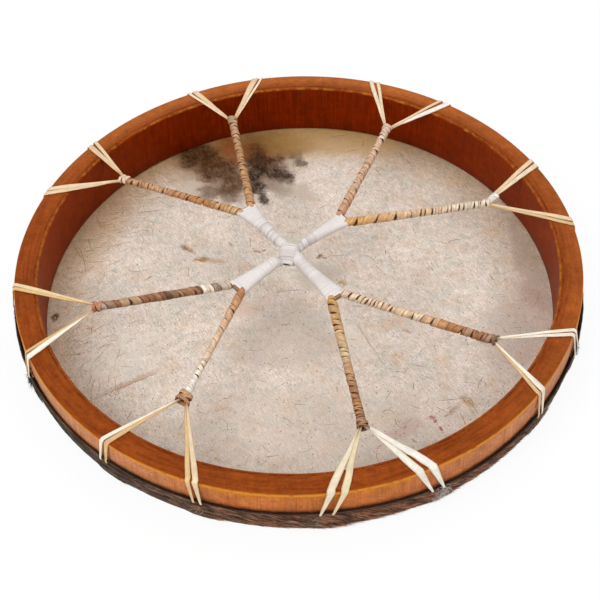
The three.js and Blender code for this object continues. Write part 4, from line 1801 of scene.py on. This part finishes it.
@dataclass(frozen=True)
class KnotRing:
    """One turn of a knot: its lean and place along the spoke, its radius and the strip's width."""

    tilt: float
    shift: float
    radius: float
    width: float


KNOT_RINGS = (
    KnotRing(0.25, -2.2 * MM, 3.5 * MM, 3.2 * MM),
    KnotRing(-0.4, 0.3 * MM, 3.8 * MM, 3.0 * MM),
    KnotRing(0.2, 2.2 * MM, 4.0 * MM, 2.6 * MM),
)

# Numbers that set the patterns of the knots, the collar, the grip's windings and its lashing apart.
KNOT_PATTERN, COLLAR_PATTERN, GRIP_PATTERN, LASHING_PATTERN = 20, 30, 40, 50


@dataclass
class Spoke:
    """A wrapped lace bundle from the grip to a knot, and its two tails."""

    number: int
    plan: SpokePlan
    grip_middle: Vector
    tuck: float = 5 * MM
    # Bundle of three laces, thicker in the knot, painted dark brown as the shade between the winding's turns.
    core_radius: float = 1.8 * MM
    core_shade_tone: str = "6f4626"
    core_groove: float = 0.1
    core_sides: int = 18
    core_rows: int = 40
    core_swelling: float = 1.75
    knot_plug: float = 1.5 * MM
    strip_thickness: float = 0.8 * MM
    shingle: float = 0.2 * MM
    narrow_root: float = 9 * MM
    root_share: float = 0.76
    widest_lean: float = 4 * MM
    steps: int = 20
    knot_sway: float = 0.35 * MM
    knot_climb: float = 0.04 * MM
    knot_lift: float = 0.25 * MM
    knot_lit: str = "e0c9a8"
    knot_steps: int = 28
    collar_radii: Span = (2.6 * MM, 3.5 * MM)
    collar_reach: Span = (2 * MM, 15 * MM)
    collar_width: float = 3.8 * MM
    collar_turns: int = 4
    collar_steps: int = 16
    pieces: list[Object] = field(default_factory=list)

    def __post_init__(self) -> None:
        """Find the spoke's ends and directions, and seed its unevenness."""
        root, self.tip = core_ends(f"spoke_core_{self.number}", self.grip_middle)
        self.travel = (self.tip - root).normalized()
        self.side = UP.cross(self.travel)
        self.root = root - self.travel * self.tuck
        self.length = (self.tip - self.root).length
        self.chance = Random(100 + self.number)

    def build(self) -> None:
        """Make the core, its winding, the knot and both tails."""
        self.pieces = [
            self.build_core(),
            self.build_winding(),
            self.build_knot(),
            *[self.build_tail(tail, letter) for tail, letter in zip(self.plan.tails, "ab")],
        ]

    def build_core(self) -> Object:
        """Twist a bundle of three laces, painted dark brown as the shade that shows between the turns.

        Returns:
            The core.
        """
        bundle = Sketch()
        length = self.length + self.knot_plug
        swelling = self.core_swelling * self.plan.winding.knot_size - 1
        rings, lies = [], []
        for i in range(self.core_rows + 1):
            share = i / self.core_rows
            thickest = self.core_radius * (1 + swelling * smooth(0.93, 0.99, share))
            ring = []
            for k in range(self.core_sides):
                angle = tau * k / self.core_sides
                groove = self.core_groove * (1 - cos(3 * angle + tau * 2.5 * share))
                radius = thickest * (1 - groove)
                out = self.side * (radius * cos(angle)) + UP * (radius * sin(angle))
                ring.append(self.root + self.travel * (length * share) + out)
            rings.append(ring)
            lies.append([(length * share, 0.0, 0.0)] * self.core_sides)
        bundle.loft(rings, [linear(self.core_shade_tone)] * len(rings), lies, [0.0] * self.core_sides)
        return bundle.piece(f"spoke_bundle_{self.number}")

    def build_winding(self) -> Object:
        """Wind the strip, with turns of uneven width and tone.

        Returns:
            The winding.
        """
        look, chance, length = self.plan.winding, self.chance, self.length

        def surface(distance: float, angle: float, stand: float) -> Vector:
            """Give a place on the spoke's round form.

            Args:
                distance: how far along the spoke.
                angle: direction round it, in radians.
                stand: how far off its form.

            Returns:
                The place.
            """
            radius = between(look.radii, distance / length) * MM - self.strip_thickness / 2 + stand
            radius *= self.root_share + (1 - self.root_share) * smooth(0, self.narrow_root, distance)
            out = UP * (radius * sin(angle)) - self.side * (radius * cos(angle))
            return self.root + self.travel * distance + out

        weights = [
            between(look.pitches, turn / (look.turns - 1)) * chance.uniform(0.5, 1.5)
            for turn in range(look.turns)]
        turns = []
        for start, pitch in share_out(length, weights):
            share = (start + pitch / 2) / length
            tone = tone_between(look.tones, share + chance.gauss(0, 0.02))
            tone = blend(tone, linear(chance.choice(look.tones)), look.scatter * chance.random())
            cover = between(look.covers, share) if chance.random() < look.gaps else 1.08
            slant = look.slant * MM + chance.gauss(0, 0.2) * min(pitch, self.widest_lean)
            stand = chance.uniform(-0.2, 0.3) * MM
            turns.append(Turn(start, pitch, pitch * cover, slant, stand, tone))
        wrap = Sketch()
        wrap.strip(wind(surface, turns, self.steps, self.shingle), self.strip_thickness, self.number)
        return wrap.piece(f"spoke_winding_{self.number}")

    def build_knot(self) -> Object:
        """Tie the strip's end round the roots of the two tails.

        Returns:
            The knot.
        """
        look = self.plan.winding
        tone, pale = linear(look.knot), linear(self.knot_lit)
        size = look.knot_size
        knot = Sketch()
        for number, ring in enumerate(KNOT_RINGS):
            stations = []
            first = self.chance.uniform(0, tau)
            for i in range(self.knot_steps + 1):
                angle = first + tau * 1.12 * i / self.knot_steps
                rise = size * ring.radius * 0.85 * sin(angle) + self.knot_climb * i
                across = size * ring.radius * 1.12 * cos(angle)
                sway = size * ring.shift + ring.tilt * across + self.knot_sway * sin(angle * 2)
                at = self.tip + self.travel * sway + self.side * across + UP * rise
                # Painted light: the rings nearer the grip are paler, as on the lit top of a knot, with some
                # random tone too.
                shade = blend(tone, pale, 0.08 * (2 - number) + 0.08 * self.chance.random())
                stations.append(Station(at, self.travel, size * ring.width, shade, lift=self.knot_lift))
            knot.strip(stations, self.strip_thickness, KNOT_PATTERN + self.number + 0.3 * number)
        if look.collar:
            knot.strip(self.collar(), self.strip_thickness, COLLAR_PATTERN)
        return knot.piece(f"spoke_knot_{self.number}")

    def collar(self) -> list[Station]:
        """Wind a short collar round the start of the second tail.

        Returns:
            Stations of the collar.
        """
        hoop = solid_box("hoop")[1]
        tone = linear(self.plan.winding.collar)
        leaving = (around(radians(self.plan.tails[1].rim), hoop.x, hoop.z) - self.tip).normalized()
        side = UP.cross(leaving)
        stations = []
        for i in range(self.collar_turns * self.collar_steps + 1):
            share = i / (self.collar_turns * self.collar_steps)
            angle = tau * i / self.collar_steps
            radius = between(self.collar_radii, share)
            out = side * (radius * cos(angle)) + UP * (0.8 * radius * sin(angle))
            at = self.tip + leaving * between(self.collar_reach, share) + out
            stations.append(Station(at, leaving, self.collar_width, tone))
        return stations

    def build_tail(self, tail: Tail, letter: str) -> Object:
        """Lead a loop of lace from the knot over the rim and through its two holes.

        Args:
            tail: the tail's route and looks.
            letter: which of the spoke's tails it is.

        Returns:
            The tail.
        """
        sizes = LACE_SIZES
        loop = Sketch()
        for number, side in enumerate((-1, 1)):
            stations = [*self.lead_to_rim(tail, side), *self.lead_to_hole(tail, side)]
            loop.strip(stations, sizes.thickness, self.number + 0.37 * number)
        radius = solid_box("hoop")[1].x + sizes.lie
        start = hole_angle(tail, -1) - sizes.stitch_overlap
        stop = hole_angle(tail, 1) + sizes.stitch_overlap
        height = fold_edge((start + stop) / 2) - sizes.hole_below_edge
        stitch = []
        for i in range(sizes.stitch_steps + 1):
            at = around(start + (stop - start) * i / sizes.stitch_steps, radius, height)
            stitch.append(Station(at, UP, sizes.stitch_height, linear(tail.tones[0])))
        loop.strip(stitch, sizes.thickness, self.number + 0.7)
        return loop.piece(f"lace_loop_{self.number}{letter}")

    def lead_to_rim(self, tail: Tail, side: int) -> list[Station]:
        """Lay out one strand of a tail from the knot to the rim.

        Args:
            tail: the tail's route and looks.
            side: -1 for the clockwise strand, 1 for the other.

        Returns:
            Stations from the knot to the rim's outer edge.
        """
        sizes = LACE_SIZES
        width, tone = tail.strand(side)
        radius, height = sizes.rim_edge
        above = height + sizes.rim_bend
        rim_angle = radians(tail.rim)
        crossing = around(rim_angle, radius, above)
        leaving = (crossing - self.tip).normalized()
        beside = copysign(sizes.beside_axis, leaving.dot(self.side))
        start = self.tip + self.travel * sizes.past_tip + self.side * beside
        run = (crossing - start).length
        flush = 1 - (Hoop.wall - Hoop.edge_round + sizes.level_before) / run
        tail_across = UP.cross(Vector((leaving.x, leaving.y, 0)).normalized())
        roll = self.chance.uniform(*sizes.rolls) * side
        stations = []
        for i in range(sizes.steps + 1):
            share = i / sizes.steps
            across = tail_across.lerp(sideways(rim_angle), smooth(flush, 1, share)).normalized()
            widened = share ** tail.taper
            narrowed = 1 - (1 - sizes.bent_width) * smooth(0.86, 1, share)
            wide = sizes.at_knot + (width - sizes.at_knot) * widened * narrowed
            touching = sizes.at_knot + (sum(tail.widths) * MM / 2 - sizes.at_knot) * widened
            apart = touching * (sizes.pressed * (1 - share) + share) + tail.gap * MM * smooth(0.35, 1, share)
            at = start.lerp(crossing, share) + across * (side * apart / 2)
            climb = (above - start.z) * min(share / flush, 1.0)
            at.z = start.z + climb + side * sizes.stagger * (1 - share)
            stations.append(Station(at, across, wide, tone, roll * (1 - smooth(0.05, 0.4, share))))
        return stations

    def lead_to_hole(self, tail: Tail, side: int) -> list[Station]:
        """Lay out one strand of a tail from the rim down the hoop and through its hole.

        Args:
            tail: the tail's route and looks.
            side: -1 for the clockwise strand, 1 for the other.

        Returns:
            Stations from the rim's outer edge to the stitch behind the fold.
        """
        sizes = LACE_SIZES
        width, tone = tail.strand(side)
        edge, bend = sizes.rim_edge, sizes.rim_bend
        above = edge[1] + bend
        hoop_radius = solid_box("hoop")[1].x
        outside = solid_box("drumhead")[1].x + sizes.lie
        spacing = (sum(tail.widths) / 2 + tail.gap) * MM
        rim_angle = radians(tail.rim) + side * spacing / 2 / hoop_radius
        end_angle = hole_angle(tail, side)
        hole = fold_edge(end_angle) - sizes.hole_below_edge
        low = hole + sizes.thickness
        resting = (edge[1] - fold_edge(end_angle) - sizes.off_fold) / (edge[1] - low)
        route = arc(edge, bend, bend, 78, 0, 5)
        for share in sizes.wall_shares:
            lean = (outside - edge[0] - bend) * min(share / resting, 1.0)
            route.append((edge[0] + bend + lean, edge[1] + (low - edge[1]) * share))
        stations = []
        for radius, height in route:
            share = (above - height) / (above - low)
            angle = rim_angle + (end_angle - rim_angle) * share
            wide = between((sizes.bent_width * width, sizes.at_hole), share)
            stations.append(Station(around(angle, radius, height), sideways(angle), wide, tone))
        inward = arc((outside - sizes.thickness, low), sizes.thickness, sizes.thickness, 0, -90, 3)[1:]
        for radius, height in (*inward, (hoop_radius + sizes.lie, hole)):
            at = around(end_angle, radius, height)
            stations.append(Station(at, sideways(end_angle), sizes.at_hole, tone))
        return stations

    def dress(self) -> list[Object]:
        """Finish the spoke's pieces.

        Returns:
            The core, the winding, the knot and both tails.
        """
        core, winding, knot, *tails = self.pieces
        hand_over(core, LACE, [f"spoke_core_{self.number}"])
        hand_over(winding, TAN_STRIP, [f"spoke_wrap_{self.number}"])
        hand_over(knot, TAN_STRIP)
        for tail, letter in zip(tails, "ab"):
            hand_over(tail, LACE, [f"lace_tail_{self.number}{letter}"])
        return self.pieces


@dataclass(frozen=True)
class Arm:
    """One arm of the grip.

    Its turn is in degrees. Its root and end are half widths, its shares of painted shade on the turns run
    outward from the crossing, and its slant is a share of the pitch.
    """

    turn: float
    length: float
    upper: bool
    root: float
    shade_shares: tuple[float, ...]
    slant: float
    end: float


@dataclass
class HandGrip:
    """Cross of two wrapped lace bundles at the middle of the net."""

    centre: Span = (-7 * MM, 4.5 * MM)
    arms: tuple[Arm, ...] = (
        Arm(37.5, 64 * MM, False, 3.4 * MM, (0.6, 0.7, 0.3, 0.1, 0.1, 0.15), 0.5, 8.4 * MM),
        Arm(124.5, 68 * MM, True, 4.2 * MM, (0.2, 0.4, 0.7, 0.6, 0.25, 0.15), -0.2, 9.6 * MM),
        Arm(221, 62 * MM, False, 4.8 * MM, (0.5, 0.4, 0.15, 0.05, 0.1, 0.2), 0.3, 9.2 * MM),
        Arm(305.5, 68 * MM, True, 4.6 * MM, (0.3, 0.4, 0.3, 0.35, 0.2, 0.1), 0.6, 9.4 * MM),
    )
    thick_root: float = 4.4 * MM
    end_half_thickness: float = 2.2 * MM
    lap_half_thickness: float = 2.6 * MM
    lap_length: float = 9 * MM
    lap_gap: float = 0.15 * MM
    bundle_end: float = 1.5 * MM
    bundle_gap: float = 0.3 * MM
    bundle_sides: int = 24
    bundle_rows: int = 24
    strip_thickness: float = 0.7 * MM
    shingle: float = 0.12 * MM
    upper_inset: float = 1 * MM
    lower_inset: float = 3 * MM
    hem: float = 3 * MM
    turns: int = 32
    steps: int = 28
    lashing_turns: int = 10
    lashing_pitch: float = 2.4 * MM
    lashing_middle: float = 14.9 * MM
    lashing_half_width: float = 8.2 * MM
    lashing_half_height: float = 7.0 * MM
    lashing_narrowest: float = 0.35
    lashing_power: float = 2 / 3
    white: str = "ddd5d2"
    shadow_white: str = "a89c94"
    bundle: str = "8f6c48"
    seed: int = 7
    cores: list[Object] = field(default_factory=list)
    wraps: list[Object] = field(default_factory=list)
    lashing: Object | None = None

    @property
    def middle(self) -> Vector:
        """Middle of the crossing, at half the height of both cores."""
        low, high = solid_box("grip_core_lower")[0].z, solid_box("grip_core_upper")[1].z
        return Vector((*self.centre, (low + high) / 2))

    def place(self, arm: Arm, distance: float, angle: float, stand: float) -> Vector:
        """Give a place on an arm, whose section turns from a round one to a flat one with sharp corners.

        Args:
            arm: the arm.
            distance: how far out from the crossing.
            angle: direction round the arm, in radians.
            stand: how far off the bundle.

        Returns:
            The place.
        """
        share = min(max(distance / arm.length, 0), 1.05) ** 2.6
        lap = smooth(self.lap_length, 2 * self.lap_length, distance)
        width = arm.root + (arm.end - arm.root) * share
        thickness = self.thick_root + (self.end_half_thickness - self.thick_root) * share
        thickness = self.lap_half_thickness + (thickness - self.lap_half_thickness) * lap
        rise = (1 - lap) * (self.lap_half_thickness + self.lap_gap)
        power = 1 - 0.36 * share
        across, height = (copysign(abs(value) ** power, value) for value in (cos(angle), sin(angle)))
        along = heading(radians(arm.turn))
        return (
            self.middle + along * distance + UP.cross(along) * ((width + stand) * across)
            + UP * ((rise if arm.upper else -rise) + (thickness + stand) * height))

    def build(self) -> None:
        """Make both bundles, the four windings and the lashing."""
        chance = Random(self.seed)
        self.cores = [
            self.build_core("grip_bundle_upper", self.arms[1], self.arms[3]),
            self.build_core("grip_bundle_lower", self.arms[0], self.arms[2]),
        ]
        self.wraps = [self.build_wrap(number, arm, chance) for number, arm in enumerate(self.arms, 1)]
        self.lashing = self.build_lashing(chance)

    def build_core(self, name: str, first: Arm, second: Arm) -> Object:
        """Loft a lace bundle from one arm's end to the opposite one.

        Args:
            name: the piece's name.
            first: the arm that it starts in.
            second: the arm that it ends in.

        Returns:
            The bundle.
        """
        sides, rows = self.bundle_sides, self.bundle_rows
        bundle = Sketch()
        rings, lies = [], []
        for i in range(2 * rows + 1):
            arm, sign, shift = (first, -1, pi) if i < rows else (second, 1, 0.0)
            distance = abs(i / rows - 1) * (arm.length + self.bundle_end)
            angles = [shift + sign * tau * k / sides for k in range(sides)]
            rings.append([self.place(arm, distance, angle, -self.bundle_gap) for angle in angles])
            lies.append([(i * 3 * MM, k * 1.5 * MM, 0.0) for k in range(sides)])
        bundle.loft(rings, [linear(self.bundle)] * len(rings), lies, [0.0] * sides)
        return bundle.piece(name)

    def build_wrap(self, number: int, arm: Arm, chance: Random) -> Object:
        """Wind a white strip round one arm, close enough to hide the bundle.

        Args:
            number: the arm's number.
            arm: the arm.
            chance: source of unevenness.

        Returns:
            The winding.
        """
        white, shadow = linear(self.white), linear(self.shadow_white)
        lie = self.strip_thickness / 2
        inset = self.upper_inset if arm.upper else self.lower_inset
        weights = [chance.uniform(0.65, 1.4) for _ in range(self.turns)]
        run = arm.length - inset - self.hem
        turns = []
        for start, pitch in share_out(run, weights):
            # Painted shade: some turns are greyed toward the shadow white, by the arm's shares along it.
            tone = blend(white, shadow, between(arm.shade_shares, start / arm.length) * chance.random())
            slant = (arm.slant + chance.gauss(0, 0.2)) * pitch * (1 - (start / run) ** 3)
            stand = lie + chance.uniform(-0.04, 0.06) * MM
            turns.append(Turn(inset + start, pitch, 1.5 * pitch, slant, stand, tone))
        turns.append(Turn(inset + run + self.hem / 2, 0.0, self.hem, 0.0, lie, white))
        wrap = Sketch()
        stations = wind(partial(self.place, arm), turns, self.steps, self.shingle)
        wrap.strip(stations, self.strip_thickness, GRIP_PATTERN + number)
        return wrap.piece(f"grip_winding_{number}")

    def build_lashing(self, chance: Random) -> Object:
        """Lash the crossing through the notches at either side of it.

        Args:
            chance: source of unevenness.

        Returns:
            The lashing.
        """
        to_notch = heading(radians(self.arms[0].turn)) + heading(radians(self.arms[3].turn))
        to_notch.normalize()
        along = UP.cross(to_notch)
        pitch = self.lashing_pitch
        run = self.lashing_turns * pitch

        def surface(distance: float, angle: float, stand: float) -> Vector:
            """Give a place on the lashing's form, which closes toward both ends.

            Args:
                distance: how far along the crossing.
                angle: direction round it, in radians.
                stand: how far off its form.

            Returns:
                The place.
            """
            share = min(max(distance / run, 0), 1)
            full = smooth(-0.12, 0.3, min(share, 1 - share))
            across, height = (
                copysign(abs(value) ** self.lashing_power, value)
                for value in (cos(angle), sin(angle)))
            width = self.lashing_half_width * between((self.lashing_narrowest, 1), full)
            return (
                self.middle + along * (distance - self.lashing_middle) + to_notch * ((width + stand) * across)
                + UP * ((self.lashing_half_height * full + stand) * height))

        turns = []
        for number in range(self.lashing_turns):
            tone = blend(linear(self.white), linear(self.shadow_white), 0.4 * chance.random())
            stand = chance.uniform(0, 0.15) * MM
            turns.append(Turn(number * pitch, pitch, 1.9 * pitch, 0.0, stand, tone))
        lashing = Sketch()
        lashing.strip(wind(surface, turns, self.steps, self.shingle), self.strip_thickness, LASHING_PATTERN)
        return lashing.piece("crossing_lashing")

    def dress(self) -> list[Object]:
        """Finish the grip's pieces.

        Returns:
            Both bundles, the four windings and the lashing.
        """
        for core, level in zip(self.cores, ("upper", "lower")):
            hand_over(core, LACE, [f"grip_core_{level}"])
        for number, wrap in enumerate(self.wraps, 1):
            hand_over(wrap, WHITE_STRIP, [f"grip_wrap_{number}"])
        hand_over(self.lashing, WHITE_STRIP, ["grip_crossing_lashing"])
        return [*self.cores, *self.wraps, self.lashing]


@dataclass(frozen=True)
class Softbox:
    """A square lamp: its name, place, side length and power in watts."""

    name: str
    place: tuple[float, float, float]
    size: float
    power: float


@dataclass
class Studio:
    """White paper floor, soft lamps and the camera."""

    elevation: float = 0.8150
    roll: float = -0.0392
    distance: float = 1.16875
    sensor: float = 36
    lens: float = 79.166
    shift: Span = (0.00418, -0.07564)
    floor_half: float = 6.0
    floor_drop: float = 0.4 * MM
    ambient: float = 0.55
    lamps: tuple[Softbox, ...] = (
        Softbox("key_softbox", (-1.2, -1.4, 2.0), 1.5, 33.0),
        Softbox("fill_softbox", (1.7, -0.9, 1.5), 1.6, 12.0),
        Softbox("top_softbox", (0.0, 0.9, 2.2), 1.8, 16.0),
    )

    def build(self) -> None:
        """Set up camera, floor, world and lamps."""
        bpy.context.scene.view_settings.view_transform = "Standard"
        self.build_camera()
        self.build_floor()
        self.build_world()
        for lamp in self.lamps:
            self.add_lamp(lamp)

    def build_camera(self) -> None:
        """Place the camera above the front, looking down on the open back."""
        lens = bpy.data.cameras.new("camera")
        lens.sensor_width = self.sensor
        lens.lens = self.lens
        lens.shift_x, lens.shift_y = self.shift
        camera = bpy.data.objects.new("camera", lens)
        target = Matrix.Translation((0, 0, solid_box("hoop")[1].z))
        turn = Matrix.Rotation(pi / 2 - self.elevation, 4, "X") @ Matrix.Rotation(self.roll, 4, "Z")
        camera.matrix_world = target @ turn @ Matrix.Translation((0, 0, self.distance))
        bpy.context.scene.collection.objects.link(camera)
        bpy.context.scene.camera = camera

    def build_floor(self) -> None:
        """Lay the paper just under the drum."""
        half, low = self.floor_half, -self.floor_drop
        mesh = bpy.data.meshes.new("paper_floor")
        corners = [(-half, -half, low), (half, -half, low), (half, half, low), (-half, half, low)]
        mesh.from_pydata(corners, [], [(0, 1, 2, 3)])
        floor = bpy.data.objects.new("paper_floor", mesh)
        mesh.materials.append(PAPER.material())
        bpy.context.scene.collection.objects.link(floor)

    def build_world(self) -> None:
        """Fill the room with plain white light, seen as white."""
        world = bpy.data.worlds.new("studio")
        world.use_nodes = True
        tree = world.node_tree
        add = partial(add_node, tree)
        room = tree.nodes["Background"]
        feed(room, {"Color": (1, 1, 1, 1), "Strength": self.ambient})
        white = add("Background", {"Color": (1, 1, 1, 1), "Strength": 1.0})
        light = add("MixShader", shows_white(add), room.outputs[0], white)
        feed(tree.nodes["World Output"], {"Surface": light})
        bpy.context.scene.world = world

    def add_lamp(self, box: Softbox) -> None:
        """Aim a softbox at the drum.

        Args:
            box: the softbox.
        """
        light = bpy.data.lights.new(box.name, "AREA")
        light.size = box.size
        light.energy = box.power
        lamp = bpy.data.objects.new(box.name, light)
        lamp.location = box.place
        lamp.rotation_euler = (-Vector(box.place)).to_track_quat("-Z", "Y").to_euler()
        bpy.context.scene.collection.objects.link(lamp)


def main() -> None:
    """Build and dress the drum, and report its pieces."""
    logging.basicConfig(level=logging.INFO, format="%(name)s: %(message)s")
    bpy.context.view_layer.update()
    Studio().build()
    grip = HandGrip()
    spokes = [Spoke(number, plan, grip.middle) for number, plan in enumerate(SPOKES, 1)]
    for part in (Hoop(), Drumhead(), *spokes, grip):
        part.build()
        for piece in part.dress():
            LOG.info("%s: %d faces", piece.name, len(piece.data.polygons))


if __name__ == "__main__":
    main()
